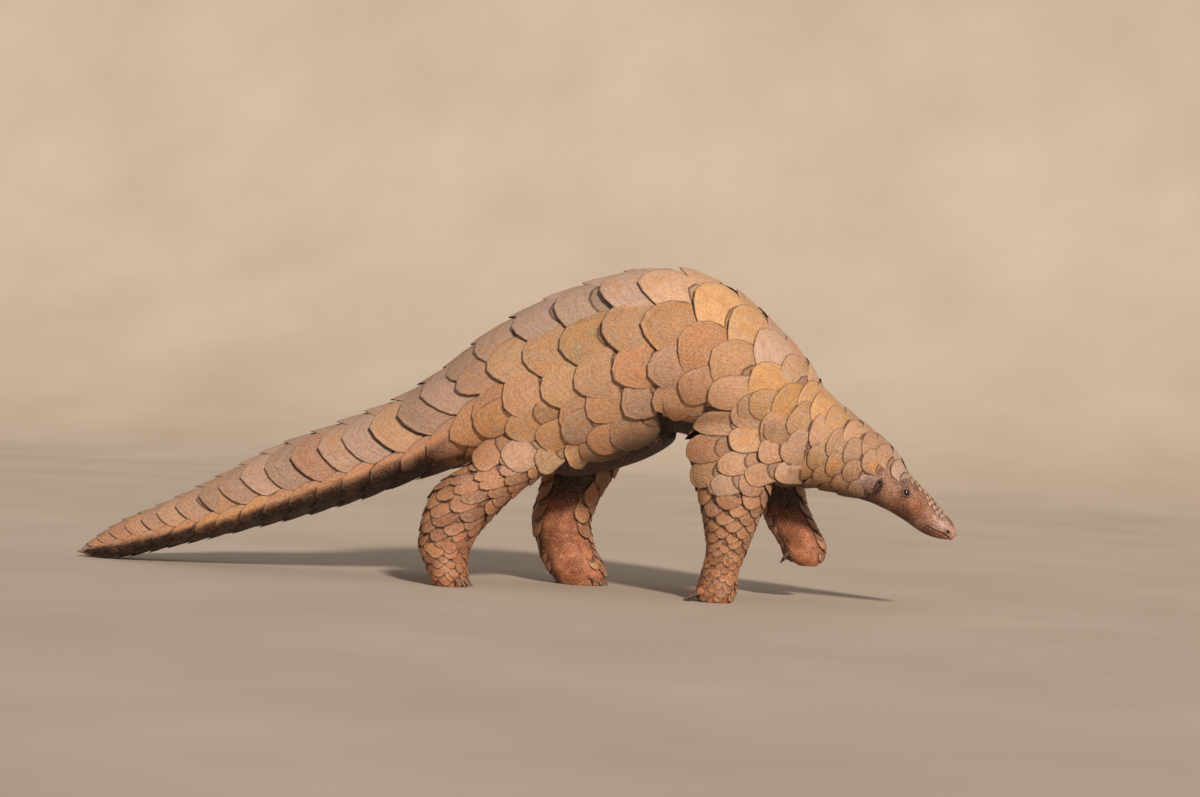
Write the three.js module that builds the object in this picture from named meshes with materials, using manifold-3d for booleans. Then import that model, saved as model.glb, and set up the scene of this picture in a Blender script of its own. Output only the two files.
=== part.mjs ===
// A life-size pangolin, walking, with its left forefoot off the floor.
// Millimetres. +X is ahead, +Y is the animal's left and +Z is up. The floor is at Z = 0.

import * as THREE from "three";
import { mergeVertices } from "three/addons/utils/BufferGeometryUtils.js";
import Module from "manifold-3d";

const wasm = await Module();
wasm.setup();

// Clear space between touching pieces
const GAP = 0.3;

// How far the skin lies inside the outline that the plates give, on the body, face, legs and feet
const BODY_SKIN_DEPTH = 3;
const FACE_SKIN_DEPTH = 0.8;
const LEG_SKIN_DEPTH = 1.5;
const FOOT_SKIN_DEPTH = 0.3;

// A plate's free edge over the skin and its root under it, as shares of its pitch, and their limits
const RISE_SHARE = 0.13;
const MOST_RISE = 5;
const LEAST_RISE = 1.4;
const SINK = 5;
const OVERLAP = 1.6;

// The plates are a little longer, and so fewer, than those of the animal
const BODY_PLATE_LONGER = 1.12;
const LEG_PLATE_LONGER = 1.3;

// Angles between the long rows of plates, and how many rows lie on each side of the middle one
const TRUNK_ROW_DEGREES = 27;
const TRUNK_ROWS = 4;
const TAIL_ROW_DEGREES = 40;
const TAIL_ROWS = 2;
const UNDER_TAIL_ROW_DEGREES = 40;
const LEG_ROW_DEGREES = 46;
const LEG_ROWS = 1;

// How finely the body and the legs are faceted
const BODY_SIDES = 20;
const LEG_STEPS = 11;
const LEG_SIDES = 16;

const degrees = THREE.MathUtils.degToRad;
const vector = (x, y, z) => new THREE.Vector3(x, y, z);

// Sections square to the spine, from the tail to the nose. Each has its centre, how far the body
// reaches above and below it, its half width, and the pitch of the plates in a long row.
const SPINE = [
  { at: "tail end", x: -546, z: 5, up: 2, down: 3, half: 3, pitch: 22 },
  { at: "tail tip", x: -528, z: 8, up: 12, down: 9, half: 13, pitch: 24 },
  { at: "tail point", x: -495, z: 15, up: 25, down: 13, half: 24, pitch: 29 },
  { at: "tail third", x: -440, z: 30, up: 35, down: 13, half: 36, pitch: 35 },
  { at: "tail middle", x: -377, z: 48, up: 49, down: 13, half: 46, pitch: 39 },
  { at: "tail half", x: -315, z: 70, up: 60, down: 17, half: 54, pitch: 42 },
  { at: "tail thick", x: -246, z: 95, up: 64, down: 18, half: 62, pitch: 44 },
  { at: "tail base", x: -180, z: 120, up: 69, down: 17, half: 71, pitch: 45 },
  { at: "tail root", x: -122, z: 153, up: 74, down: 38, half: 82, pitch: 46 },
  { at: "hips", x: -66, z: 186, up: 87, down: 82, half: 92, pitch: 47 },
  { at: "loin", x: 3, z: 213, up: 97, down: 92, half: 96, pitch: 49 },
  { at: "withers", x: 75, z: 234, up: 92, down: 79, half: 94, pitch: 47 },
  { at: "chest", x: 140, z: 207, up: 74, down: 62, half: 84, pitch: 42 },
  { at: "neck base", x: 190, z: 170, up: 58, down: 58, half: 65, pitch: 34 },
  { at: "neck", x: 234, z: 153, up: 43, down: 40, half: 49, pitch: 28 },
  { at: "nape", x: 276, z: 135, up: 32, down: 32, half: 37, pitch: 26 },
  { at: "brow", x: 301, z: 120, up: 19.5, down: 25.5, half: 29, pitch: 23 },
  { at: "muzzle", x: 321, z: 106, up: 15, down: 22, half: 21, pitch: 20 },
  { at: "snout", x: 338, z: 92, up: 12, down: 19, half: 15, pitch: 18 },
  { at: "nose", x: 351, z: 82, up: 10, down: 13, half: 11, pitch: 12 },
  { at: "nose tip", x: 360, z: 75, up: 4, down: 5, half: 5, pitch: 12 },
];
const LAST = SPINE.length - 1;
const place = (name) => SPINE.findIndex((section) => section.at === name);

// Level sections of each leg from inside the body down to the sole.
// Here up is the reach ahead of the centre and down is the reach behind it.
const RIGHT_FORELEG = [
  { x: 142, y: -48, z: 176, up: 34, down: 34, half: 22, pitch: 26 },
  { x: 142, y: -55, z: 146, up: 44, down: 43, half: 30, pitch: 26 },
  { x: 146, y: -58, z: 112, up: 39, down: 34, half: 29, pitch: 24 },
  { x: 146, y: -57, z: 79, up: 28, down: 25, half: 25, pitch: 20 },
  { x: 145, y: -55, z: 50, up: 20, down: 20, half: 20, pitch: 15 },
  { x: 140, y: -54, z: 28, up: 17, down: 19, half: 19, pitch: 12 },
  { x: 138, y: -54, z: 12, up: 19, down: 21, half: 20, pitch: 12 },
  { x: 136, y: -54, z: 0, up: 17, down: 17, half: 17, pitch: 12 },
];
const LEFT_FORELEG = [
  { x: 150, y: 48, z: 186, up: 30, down: 30, half: 22, pitch: 26 },
  { x: 160, y: 55, z: 154, up: 36, down: 36, half: 30, pitch: 26 },
  { x: 172, y: 58, z: 126, up: 30, down: 32, half: 28, pitch: 24 },
  { x: 184, y: 58, z: 100, up: 20, down: 29, half: 23, pitch: 20 },
  { x: 197, y: 57, z: 76, up: 18, down: 32, half: 20, pitch: 15 },
  { x: 206, y: 56, z: 56, up: 21, down: 27, half: 19, pitch: 12 },
  { x: 207, y: 56, z: 42, up: 19, down: 21, half: 18, pitch: 12 },
  { x: 210, y: 56, z: 34, up: 10, down: 11, half: 11, pitch: 12 },
];
const RIGHT_HINDLEG = [
  { x: -62, y: -56, z: 150, up: 34, down: 34, half: 24, pitch: 26 },
  { x: -75, y: -62, z: 122, up: 40, down: 40, half: 31, pitch: 26 },
  { x: -105, y: -66, z: 94, up: 38, down: 43, half: 32, pitch: 24 },
  { x: -120, y: -68, z: 66, up: 28, down: 38, half: 31, pitch: 22 },
  { x: -131, y: -69, z: 40, up: 23, down: 30, half: 28, pitch: 18 },
  { x: -130, y: -69, z: 18, up: 19, down: 22, half: 27, pitch: 14 },
  { x: -128, y: -69, z: 0, up: 19, down: 16, half: 22, pitch: 14 },
];
const LEFT_HINDLEG = [
  { x: -24, y: 56, z: 150, up: 34, down: 34, half: 24, pitch: 26 },
  { x: -28, y: 62, z: 122, up: 38, down: 38, half: 31, pitch: 26 },
  { x: -38, y: 66, z: 94, up: 30, down: 34, half: 32, pitch: 24 },
  { x: -44, y: 68, z: 66, up: 26, down: 35, half: 31, pitch: 22 },
  { x: -41, y: 69, z: 40, up: 28, down: 32, half: 29, pitch: 18 },
  { x: -34, y: 69, z: 18, up: 33, down: 30, half: 28, pitch: 14 },
  { x: -27, y: 69, z: 0, up: 29, down: 24, half: 23, pitch: 14 },
];

// A form is a surface lofted through sections. A place counts sections from the first one.
// A turn is the angle round a section: from its top, or a leg's front, towards +Y.
function makeForm(sections, isLeg, depthAt) {
  const last = sections.length - 1;
  const centres = sections.map((s) => vector(s.x, s.y ?? 0, s.z));
  const reaches = sections.map((s) => vector(s.up, s.down, s.half));
  const pitches = sections.map((s) => vector(s.pitch, 0, 0));
  const path = new THREE.CatmullRomCurve3(centres, false, "catmullrom");
  const reach = new THREE.CatmullRomCurve3(reaches, false, "catmullrom");
  const spacing = new THREE.CatmullRomCurve3(pitches, false, "catmullrom");
  const share = (k) => THREE.MathUtils.clamp(k / last, 0, 1);
  const pitch = (k) => spacing.getPoint(share(k)).x * (isLeg ? LEG_PLATE_LONGER : BODY_PLATE_LONGER);

  // Section at a place: its centre, the way the path runs, the way to its top, and its reaches
  function section(k) {
    const ahead = path.getTangent(share(k));
    const out = isLeg ? vector(1, 0, 0) : vector(-ahead.z, 0, ahead.x);
    const inner = reach.getPoint(share(k)).toArray().map((r) => Math.max(r - depthAt(k), 1));
    const [up, down, half] = inner;
    return { centre: path.getPoint(share(k)), ahead, out, up, down, half };
  }

  function bare(k, turn) {
    const { centre, out, up, down, half } = section(k);
    const rise = Math.cos(turn) * (Math.cos(turn) > 0 ? up : down);
    return centre.addScaledVector(out, rise).add(vector(0, Math.sin(turn) * half, 0));
  }

  function normal(k, turn) {
    const step = 0.02;
    const along = bare(Math.min(k + step, last), turn).sub(bare(Math.max(k - step, 0), turn));
    const round = bare(k, turn + step).sub(bare(k, turn - step));
    return along.cross(round).normalize();
  }

  // Point at a place and turn, lifted off the surface
  function point(k, turn, lift = 0) {
    return bare(k, turn).addScaledVector(normal(k, turn), lift);
  }

  // Millimetres on the surface for one place, and for one radian
  function scales(k, turn) {
    const step = 0.2;
    const low = Math.max(k - step, 0);
    const high = Math.min(k + step, last);
    return {
      perPlace: bare(high, turn).distanceTo(bare(low, turn)) / (high - low),
      perRadian: bare(k, turn + step).distanceTo(bare(k, turn - step)) / (2 * step),
    };
  }

  return { last, section, normal, point, pitch, scales, path, rootward: isLeg ? -1 : 1 };
}

// A closed solid from corners and triangles, turned right side out
function solidOfFaces(corners, faces) {
  const vertProperties = new Float32Array(corners.flatMap((p) => p.toArray()));
  const build = (list) => new wasm.Manifold(
    new wasm.Mesh({ numProp: 3, vertProperties, triVerts: new Uint32Array(list) }),
  );
  const solid = build(faces);
  return solid.volume() > 0 ? solid : build(faces.toReversed());
}

// A three.js geometry as a solid, once its shared corners are merged
function solidOfGeometry(geometry) {
  const bare = geometry.clone();
  bare.deleteAttribute("normal");
  bare.deleteAttribute("uv");
  const merged = mergeVertices(bare);
  const { array } = merged.attributes.position;
  const corners = Array.from({ length: array.length / 3 }, (_, i) => vector().fromArray(array, 3 * i));
  return solidOfFaces(corners, [...merged.index.array]);
}

// A closed solid from rings of points, with a flat end at both ends
function solidOfRings(rings) {
  const sides = rings[0].length;
  const corners = rings.flat();
  const faces = [];
  const corner = (ring, side) => ring * sides + (side % sides);
  for (let i = 0; i < rings.length - 1; i++) {
    for (let j = 0; j < sides; j++) {
      faces.push(corner(i, j), corner(i + 1, j), corner(i + 1, j + 1));
      faces.push(corner(i, j), corner(i + 1, j + 1), corner(i, j + 1));
    }
  }
  const middle = (ring) => ring.reduce((sum, p) => sum.add(p), vector(0, 0, 0)).divideScalar(sides);
  const start = corners.push(middle(rings[0])) - 1;
  const end = corners.push(middle(rings.at(-1))) - 1;
  for (let j = 0; j < sides; j++) {
    faces.push(start, corner(0, j), corner(0, j + 1));
    faces.push(end, corner(rings.length - 1, j + 1), corner(rings.length - 1, j));
  }
  return solidOfFaces(corners, faces);
}

// The part of a form between two places, grown by a margin
function loft(form, from, to, steps, sides, margin = 0) {
  const rings = [];
  for (let i = 0; i <= steps; i++) {
    const k = THREE.MathUtils.lerp(from, to, i / steps);
    const endward = i === 0 ? -margin : i === steps ? margin : 0;
    const shift = form.section(k).ahead.multiplyScalar(endward);
    const ring = [];
    for (let j = 0; j < sides; j++) {
      ring.push(form.point(k, (j / sides) * 2 * Math.PI, margin).add(shift));
    }
    rings.push(ring);
  }
  return solidOfRings(rings);
}

// A round tapered spike along a curve, such as a claw, or a lip when it hardly tapers
function spike(curve, radius, tipRadius, steps, sides, flatness = 1, margin = 0) {
  const rings = [];
  for (let i = 0; i <= steps; i++) {
    const t = i / steps;
    const ahead = curve.getTangent(t);
    const across = vector(0, 0, 1).cross(ahead).normalize();
    const up = ahead.clone().cross(across);
    const r = THREE.MathUtils.lerp(radius, tipRadius, t ** 1.3);
    const endward = i === 0 ? -margin : i === steps ? margin : 0;
    const ring = [];
    for (let j = 0; j < sides; j++) {
      const turn = (j / sides) * 2 * Math.PI;
      const p = curve.getPoint(t).addScaledVector(across, r * flatness * Math.cos(turn));
      p.addScaledVector(ahead, endward);
      ring.push(p.addScaledVector(up, r * Math.sin(turn)));
    }
    rings.push(ring);
  }
  return solidOfRings(rings);
}

// A stretched ball, with its third axis along a direction
function ball(centre, radii, direction, detail = 10) {
  const shape = new THREE.SphereGeometry(1, detail, Math.round(detail * 0.6)).scale(...radii);
  const turn = new THREE.Quaternion().setFromUnitVectors(vector(0, 0, 1), direction);
  return solidOfGeometry(shape.applyQuaternion(turn).translate(...centre.toArray()));
}

// A large block that fills all the space on the side of a plane that its normal points to
function halfSpace(point, normal) {
  const size = 3000;
  const block = new THREE.BoxGeometry(size, size, size).translate(0, 0, size / 2);
  const turn = new THREE.Quaternion().setFromUnitVectors(vector(0, 0, 1), normal);
  return solidOfGeometry(block.applyQuaternion(turn).translate(...point.toArray()));
}

const UP = vector(0, 0, 1);
const ABOVE_FLOOR = halfSpace(vector(0, 0, 0), UP);

// The space ahead of a place on the body, and behind it
function aheadOf(k) {
  const { centre, ahead } = body.section(k);
  return halfSpace(centre.addScaledVector(ahead, GAP / 2), ahead);
}
function behind(k) {
  const { centre, ahead } = body.section(k);
  return halfSpace(centre.addScaledVector(ahead, -GAP / 2), ahead.clone().negate());
}

// The largest closed surface of a solid, with any hollow or scrap gone
function largest(solid) {
  return solid.decompose().reduce((best, part) => (part.volume() > best.volume() ? part : best));
}

// A repeatable draw between -1 and 1
let seed = 7;
function draw() {
  seed = (seed * 16807) % 2147483647;
  return (2 * seed) / 2147483647 - 1;
}

// Corners of a plate: share of its length from the tip, share of its half width, share of its rise.
// A small plate is a plain kite.
const PLATE_OUTLINE = [
  [0, 0, 1],
  [0.12, 0.5, 1],
  [0.45, 0.98, 0.8],
  [1, 0, -0.2],
  [0.45, -0.98, 0.8],
  [0.12, -0.5, 1],
];
const SMALL_OUTLINE = [
  [0, 0, 1],
  [0.42, 1, 0.8],
  [1, 0, -0.2],
  [0.42, -1, 0.8],
];
const SMALL_PITCH = 36;
const PLATE_CROWN = [0.4, 0, 1.5];

// A horn plate whose tip is at a place and turn, and whose root is sunk in the form
function plate(form, k, turn, rowAngle, slew = 0) {
  const pitch = form.pitch(k) * (1 + 0.05 * draw());
  const { perPlace, perRadian } = form.scales(k, turn);
  const length = pitch * OVERLAP;
  const half = rowAngle * perRadian;
  const rise = THREE.MathUtils.clamp(pitch * RISE_SHARE, LEAST_RISE, MOST_RISE) * (1 + 0.12 * draw());
  const lean = slew + degrees(3) * draw();
  const corner = ([along, across, high], lift = high * rise) => {
    const a = along * length * Math.cos(lean) - across * half * Math.sin(lean);
    const b = along * length * Math.sin(lean) + across * half * Math.cos(lean);
    return form.point(k + (form.rootward * a) / perPlace, turn + b / perRadian, lift);
  };
  const outline = pitch < SMALL_PITCH ? SMALL_OUTLINE : PLATE_OUTLINE;
  const corners = [
    ...outline.map((c) => corner(c)),
    ...outline.map((c) => corner(c, -SINK)),
    corner(PLATE_CROWN),
    corner(PLATE_CROWN, -SINK),
  ];
  const sides = outline.length;
  const crown = 2 * sides;
  const faces = [];
  for (let i = 0; i < sides; i++) {
    const j = (i + 1) % sides;
    faces.push(crown, j, i);
    faces.push(crown + 1, sides + i, sides + j);
    faces.push(i, j, sides + j);
    faces.push(i, sides + j, sides + i);
  }
  return solidOfFaces(corners, faces);
}

// Long rows of plates on both sides of a middle row, a step apart
function rowsOf(step, most, middle = 0) {
  const rows = [];
  for (let row = -most; row <= most; row++) rows.push({ row, turn: middle + row * step, half: step });
  return rows;
}

// Plates over a form between two places, in courses half a pitch apart.
// Each odd course has its plates between those of the even ones.
function plates(form, from, to, rows, keep, slew = () => 0) {
  const all = [];
  const forward = form.rootward;
  let k = from;
  for (let course = 0; forward * (to - k) > 0; course++) {
    for (const { row, turn, half } of rows) {
      if ((row + course) % 2 === 0 && keep(k, turn)) {
        all.push({ k, solid: plate(form, k, turn, half, slew(k, turn)) });
      }
    }
    k += (forward * form.pitch(k)) / 2 / form.scales(k, 0).perPlace;
  }
  return all;
}

const bodyDepth = (k) => {
  const face = THREE.MathUtils.smoothstep(k, place("nape"), place("muzzle"));
  return THREE.MathUtils.lerp(BODY_SKIN_DEPTH, FACE_SKIN_DEPTH, face);
};
const body = makeForm(SPINE, false, bodyDepth);

// The room that the plates of the body need, which those of the legs stay out of
const PLATE_ROOM = 7;
const bodyRoom = loft(body, place("tail root"), place("neck"), 14, BODY_SIDES, PLATE_ROOM);

const model = new THREE.Group();

function addNode(name, solid, look) {
  const { vertProperties, triVerts } = largest(solid).getMesh();
  const geometry = new THREE.BufferGeometry();
  geometry.setAttribute("position", new THREE.BufferAttribute(new Float32Array(vertProperties), 3));
  geometry.setIndex(new THREE.BufferAttribute(triVerts, 1));
  geometry.computeVertexNormals();
  const mesh = new THREE.Mesh(geometry, new THREE.MeshStandardMaterial(look));
  mesh.name = name;
  model.add(mesh);
}

const PLATE = { color: 0xb08a66, roughness: 0.62, metalness: 0 };
const SKIN = { color: 0xa0705a, roughness: 0.8, metalness: 0 };
const CLAW = { color: 0x5a4636, roughness: 0.45, metalness: 0 };
const EYE = { color: 0x120c0a, roughness: 0.1, metalness: 0 };

// The four legs: sections, where the foot starts, places between which plates grow, the way out,
// and how the claws stand: where they are rooted, which way they point and how they curl
const LEGS = [
  {
    name: "right",
    pair: "fore",
    sections: RIGHT_FORELEG,
    ankle: 4.9,
    plated: [1.4, 5.0],
    outside: -1,
    claws: {
      root: vector(126, -54, 9),
      spread: 12.5,
      fan: 8,
      point: vector(-1, 0, -0.28),
      curl: vector(0.1, 0, -0.2),
      long: 24,
      thick: 3.6,
    },
  },
  {
    name: "left",
    pair: "fore",
    sections: LEFT_FORELEG,
    ankle: 4.3,
    plated: [1.4, 4.4],
    outside: 1,
    claws: {
      root: vector(196, 56, 50),
      spread: 12.5,
      fan: 8,
      point: vector(-0.8, 0, -0.5),
      curl: vector(0.1, 0, -0.25),
      long: 20,
      thick: 3.6,
    },
  },
  {
    name: "right",
    pair: "hind",
    sections: RIGHT_HINDLEG,
    ankle: 4.2,
    plated: [1.2, 4.6],
    outside: -1,
    claws: {
      root: vector(-120, -69, 9),
      spread: 18,
      fan: 32,
      point: vector(1, 0, -0.25),
      curl: vector(0, 0, -0.5),
      long: 15,
      thick: 3.4,
    },
  },
  {
    name: "left",
    pair: "hind",
    sections: LEFT_HINDLEG,
    ankle: 4.2,
    plated: [1.2, 4.6],
    outside: 1,
    claws: {
      root: vector(-12, 69, 9),
      spread: 18,
      fan: 32,
      point: vector(1, 0, -0.25),
      curl: vector(0, 0, -0.5),
      long: 15,
      thick: 3.4,
    },
  },
];
const CLAWS_A_FOOT = 5;

// One claw of a foot and the socket that it sits in
function clawOf({ root, spread, fan, point, curl, long, thick }, index) {
  const side = (2 * index) / (CLAWS_A_FOOT - 1) - 1;
  const size = 1 - 0.35 * side * side;
  const way = point.clone().applyAxisAngle(UP, degrees(fan) * side * Math.sign(point.x));
  const at = (t) => vector(0, side * spread, 0)
    .add(root)
    .addScaledVector(way, long * size * t)
    .addScaledVector(curl, long * size * t * t);
  const curve = new THREE.CatmullRomCurve3([0, 0.35, 0.7, 1].map(at));
  const make = (margin) => spike(curve, thick * size + margin, 0.7 + margin, 3, 5, 0.75, margin);
  return { claw: make(0), socket: make(GAP) };
}

const legSockets = [];
for (const { name, pair, sections, ankle, plated, outside, claws } of LEGS) {
  const footShare = (k) => THREE.MathUtils.smoothstep(k, ankle - 1, ankle);
  const legDepth = (k) => THREE.MathUtils.lerp(LEG_SKIN_DEPTH, FOOT_SKIN_DEPTH, footShare(k));
  const form = makeForm(sections, true, legDepth);
  const bare = loft(form, 0, form.last, LEG_STEPS, LEG_SIDES);
  legSockets.push(loft(form, 0, form.last, LEG_STEPS, LEG_SIDES, GAP));
  const rows = rowsOf(degrees(LEG_ROW_DEGREES), LEG_ROWS, degrees(90) * outside);
  const horn = plates(form, plated[1], plated[0], rows, () => true);
  const outer = wasm.Manifold.union(horn.map((p) => p.solid)).subtract(bodyRoom);
  const limb = bare.add(outer).intersect(ABOVE_FLOOR);
  const { centre } = form.section(ankle);
  const above = halfSpace(centre.clone().setZ(centre.z + GAP / 2), UP);
  const below = halfSpace(centre.clone().setZ(centre.z - GAP / 2), UP.clone().negate());
  addNode(`${pair}leg_${name}`, limb.intersect(above), SKIN);
  let foot = limb.intersect(below);
  for (let index = 0; index < CLAWS_A_FOOT; index++) {
    const { claw, socket } = clawOf(claws, index);
    foot = foot.subtract(socket);
    addNode(`claw_${pair}_${name}_${index + 1}`, claw.intersect(ABOVE_FLOOR), CLAW);
  }
  addNode(`${pair}foot_${name}`, foot, SKIN);
}

// The head: lids, lips and the line of the mouth are raised on it or cut in it
const EYE_PLACE = 16.5;
const EYE_TURN = 78;
const EYE_RADIUS = 4;
const EYE_DEPTH = 2.4;
const EAR_PLACE = 15.4;
const EAR_TURN = 109;
const EAR_SINK = 3;
const NOSTRIL_PLACE = 19.45;
const NOSTRIL_TURN = 50;
const MOUTH = [
  [18.1, 120],
  [18.7, 116],
  [19.3, 114],
  [19.7, 135],
  [19.75, 180],
];

function faceSide(side, head) {
  const turn = degrees(EYE_TURN) * side;
  const way = body.normal(EYE_PLACE, turn);
  const centre = body.point(EYE_PLACE, turn, -EYE_DEPTH);
  const facing = new THREE.Quaternion().setFromUnitVectors(UP, way);
  const rim = centre.clone().addScaledVector(way, EYE_DEPTH);
  const lids = solidOfGeometry(
    new THREE.TorusGeometry(EYE_RADIUS, 1.4, 4, 10)
      .scale(1.15, 0.85, 1)
      .applyQuaternion(facing)
      .translate(...rim.toArray()),
  );
  const eyeball = (radius) => ball(centre, [radius, radius, radius], way, 8);

  const nostrilTurn = degrees(NOSTRIL_TURN) * side;
  const nostrilWay = body.normal(NOSTRIL_PLACE, nostrilTurn);
  const nostril = ball(body.point(NOSTRIL_PLACE, nostrilTurn), [1.3, 2, 2.2], nostrilWay, 6);

  const earTurn = degrees(EAR_TURN) * side;
  const out = body.normal(EAR_PLACE, earTurn);
  const root = body.point(EAR_PLACE, earTurn);
  const opening = root.clone().addScaledVector(body.section(EAR_PLACE).ahead, 3).addScaledVector(out, 3.2);
  const ear = (margin) => ball(root, [6.5 + margin, 10.5 + margin, 5.5 + margin], out, 8)
    .subtract(ball(opening, [5.5 - margin, 8.5 - margin, 6 - margin], out, 8))
    .intersect(halfSpace(root.clone().addScaledVector(out, -EAR_SINK - margin), out));
  const canal = ball(opening, [2, 4, 9], out, 6);

  const name = side < 0 ? "right" : "left";
  addNode(`eye_${name}`, eyeball(EYE_RADIUS), EYE);
  addNode(`ear_${name}`, ear(0), SKIN);
  const hollows = [eyeball(EYE_RADIUS + GAP), nostril, ear(GAP), canal];
  return hollows.reduce((solid, hollow) => solid.subtract(hollow), head.add(lids));
}

// The line of the mouth runs from one corner round the tip of the jaw to the other, between lips
function mouthed(head) {
  const half = MOUTH.map(([k, turn]) => [k, degrees(turn)]);
  const ends = [...half, ...half.slice(0, -1).reverse().map(([k, turn]) => [k, -turn])];
  const lineAt = (shift, lift) => new THREE.CatmullRomCurve3(ends.map(([k, turn]) => {
    const back = Math.abs(turn) > 3 ? shift * 0.1 : 0;
    return body.point(k - back, turn + Math.sign(turn) * shift * 0.12, lift);
  }));
  const lips = [-1, 1].map((shift) => spike(lineAt(shift, -0.4), 1.5, 1.2, 12, 4));
  const line = spike(lineAt(0, 0.4), 0.9, 0.9, 12, 4);
  return wasm.Manifold.union([head, ...lips]).subtract(line);
}

// Plates of the tail, and of the trunk, neck and forehead
const tailRows = [
  ...rowsOf(degrees(TAIL_ROW_DEGREES), TAIL_ROWS),
  ...rowsOf(degrees(UNDER_TAIL_ROW_DEGREES), 1, Math.PI),
];
const trunkRows = rowsOf(degrees(TRUNK_ROW_DEGREES), TRUNK_ROWS);
const PARTING = place("tail root");
const TAIL_START = 0.45;

// The long rows of the shoulder run down towards the belly
const SHOULDER_SLEW = 24;
const slewOfShoulder = (k, turn) => {
  const share = THREE.MathUtils.smoothstep(k, place("loin"), place("chest"));
  return -degrees(SHOULDER_SLEW) * share * Math.sin(turn);
};

// Plates leave the belly between the forelegs, the throat and the face bare
const SHOULDER = [11.3, 12.9];
const onTrunk = (k, turn) => {
  const side = THREE.MathUtils.radToDeg(Math.abs(turn));
  if (k > SHOULDER[0] && k < SHOULDER[1]) return side < 100;
  if (k < place("neck")) return true;
  if (k < place("nape")) return side < 100;
  if (k < place("brow")) return side < 60;
  return side < 30 && k < place("snout");
};
const bodyPlates = [
  ...plates(body, TAIL_START, PARTING, tailRows, () => true),
  ...plates(body, PARTING, LAST, trunkRows, onTrunk, slewOfShoulder),
];

// Lengths of the body between parting planes. A plate reaches ahead of its place, never behind it.
const LENGTHS = [
  { name: "tail_tip", from: 0, to: 3.2, steps: 8 },
  { name: "tail_middle", from: 3.2, to: 5.6, steps: 6 },
  { name: "tail_base", from: 5.6, to: 8.2, steps: 7 },
  { name: "torso_rear", from: 8.2, to: 10.5, steps: 8 },
  { name: "torso_front", from: 10.5, to: 13, steps: 10 },
  { name: "neck", from: 13, to: 14.6, steps: 5 },
  { name: "head", from: 14.6, to: LAST, steps: 11 },
];
const SPARE = 0.3;
const PLATE_REACH = 2;
for (const { name, from, to, steps } of LENGTHS) {
  const core = loft(body, Math.max(0, from - SPARE), Math.min(LAST, to + SPARE), steps, BODY_SIDES);
  const near = bodyPlates.filter(({ k }) => k > from - PLATE_REACH && k < to + SPARE);
  let solid = wasm.Manifold.union([core, ...near.map((p) => p.solid)]);
  if (name === "head") solid = faceSide(-1, faceSide(1, mouthed(solid)));
  if (from > 0) solid = solid.intersect(aheadOf(from));
  if (to < LAST) solid = solid.intersect(behind(to));
  solid = solid.intersect(ABOVE_FLOOR);
  for (const socket of legSockets) solid = solid.subtract(socket);
  addNode(name, solid, PLATE);
}

const box = new THREE.Box3().setFromObject(model);
model.position.x = -(box.min.x + box.max.x) / 2;
model.position.y = -(box.min.y + box.max.y) / 2;
model.position.z = -box.min.z;

export default model;
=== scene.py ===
# A pangolin as a life-size model: one skin, horn scales over it, claws, eyes and ears.
# Metres, in the same frame as the solids: +X is ahead, +Y is the animal's left, +Z is up.

import math
from collections import namedtuple

import bmesh
import bpy
import numpy as np
from mathutils import Matrix, Vector


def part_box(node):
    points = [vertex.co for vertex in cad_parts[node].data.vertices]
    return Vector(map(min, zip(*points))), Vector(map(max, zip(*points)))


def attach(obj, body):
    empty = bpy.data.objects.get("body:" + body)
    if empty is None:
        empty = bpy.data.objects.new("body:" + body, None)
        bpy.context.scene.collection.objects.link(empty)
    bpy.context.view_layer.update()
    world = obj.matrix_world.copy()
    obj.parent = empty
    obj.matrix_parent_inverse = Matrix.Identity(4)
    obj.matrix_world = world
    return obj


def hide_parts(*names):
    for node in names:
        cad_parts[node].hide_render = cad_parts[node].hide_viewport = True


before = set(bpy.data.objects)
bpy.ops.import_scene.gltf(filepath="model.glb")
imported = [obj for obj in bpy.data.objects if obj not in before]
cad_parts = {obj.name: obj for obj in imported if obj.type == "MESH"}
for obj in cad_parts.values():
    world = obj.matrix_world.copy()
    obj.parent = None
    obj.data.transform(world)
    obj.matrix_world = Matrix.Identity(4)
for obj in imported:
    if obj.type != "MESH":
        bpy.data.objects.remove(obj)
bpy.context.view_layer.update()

MM = 0.001
SIDES = {"right": -1, "left": 1}
random = np.random.default_rng(11)

# Sections of the body in millimetres, from the end of the tail to the tip of the nose:
# x, z, reach above, reach below, half width, length of the scales that shows.
SPINE = {
    "tail end": (-546, 5, 2, 3, 3, 13),
    "tail tip": (-528, 8, 12, 9, 13, 15),
    "tail point": (-495, 15, 25, 13, 24, 18),
    "tail third": (-440, 30, 35, 13, 36, 23),
    "tail middle": (-377, 48, 49, 13, 46, 27),
    "tail half": (-315, 70, 60, 17, 54, 28.5),
    "tail thick": (-246, 95, 64, 18, 62, 30),
    "tail base": (-180, 120, 69, 17, 71, 34.5),
    "tail root": (-122, 153, 74, 38, 82, 37.5),
    "hips": (-66, 186, 87, 82, 92, 39.5),
    "loin": (3, 213, 97, 92, 96, 40),
    "withers": (75, 234, 92, 79, 94, 44),
    "chest": (140, 207, 74, 62, 84, 36),
    "neck base": (190, 170, 58, 58, 65, 24),
    "neck": (234, 153, 43, 40, 49, 20),
    "nape": (276, 135, 32, 32, 37, 18.5),
    "brow": (301, 120, 19.5, 25.5, 29, 13),
    "muzzle": (321, 106, 15, 22, 21, 8.5),
    "snout": (338, 92, 12, 19, 15, 7),
    "nose": (351, 82, 10, 13, 11, 7),
    "nose tip": (360, 75, 4, 5, 5, 7),
}
AXIS_HEIGHT = {row[0]: row[1] for row in SPINE.values()}
REACH_BELOW = {row[0]: row[3] for row in SPINE.values()}

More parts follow.
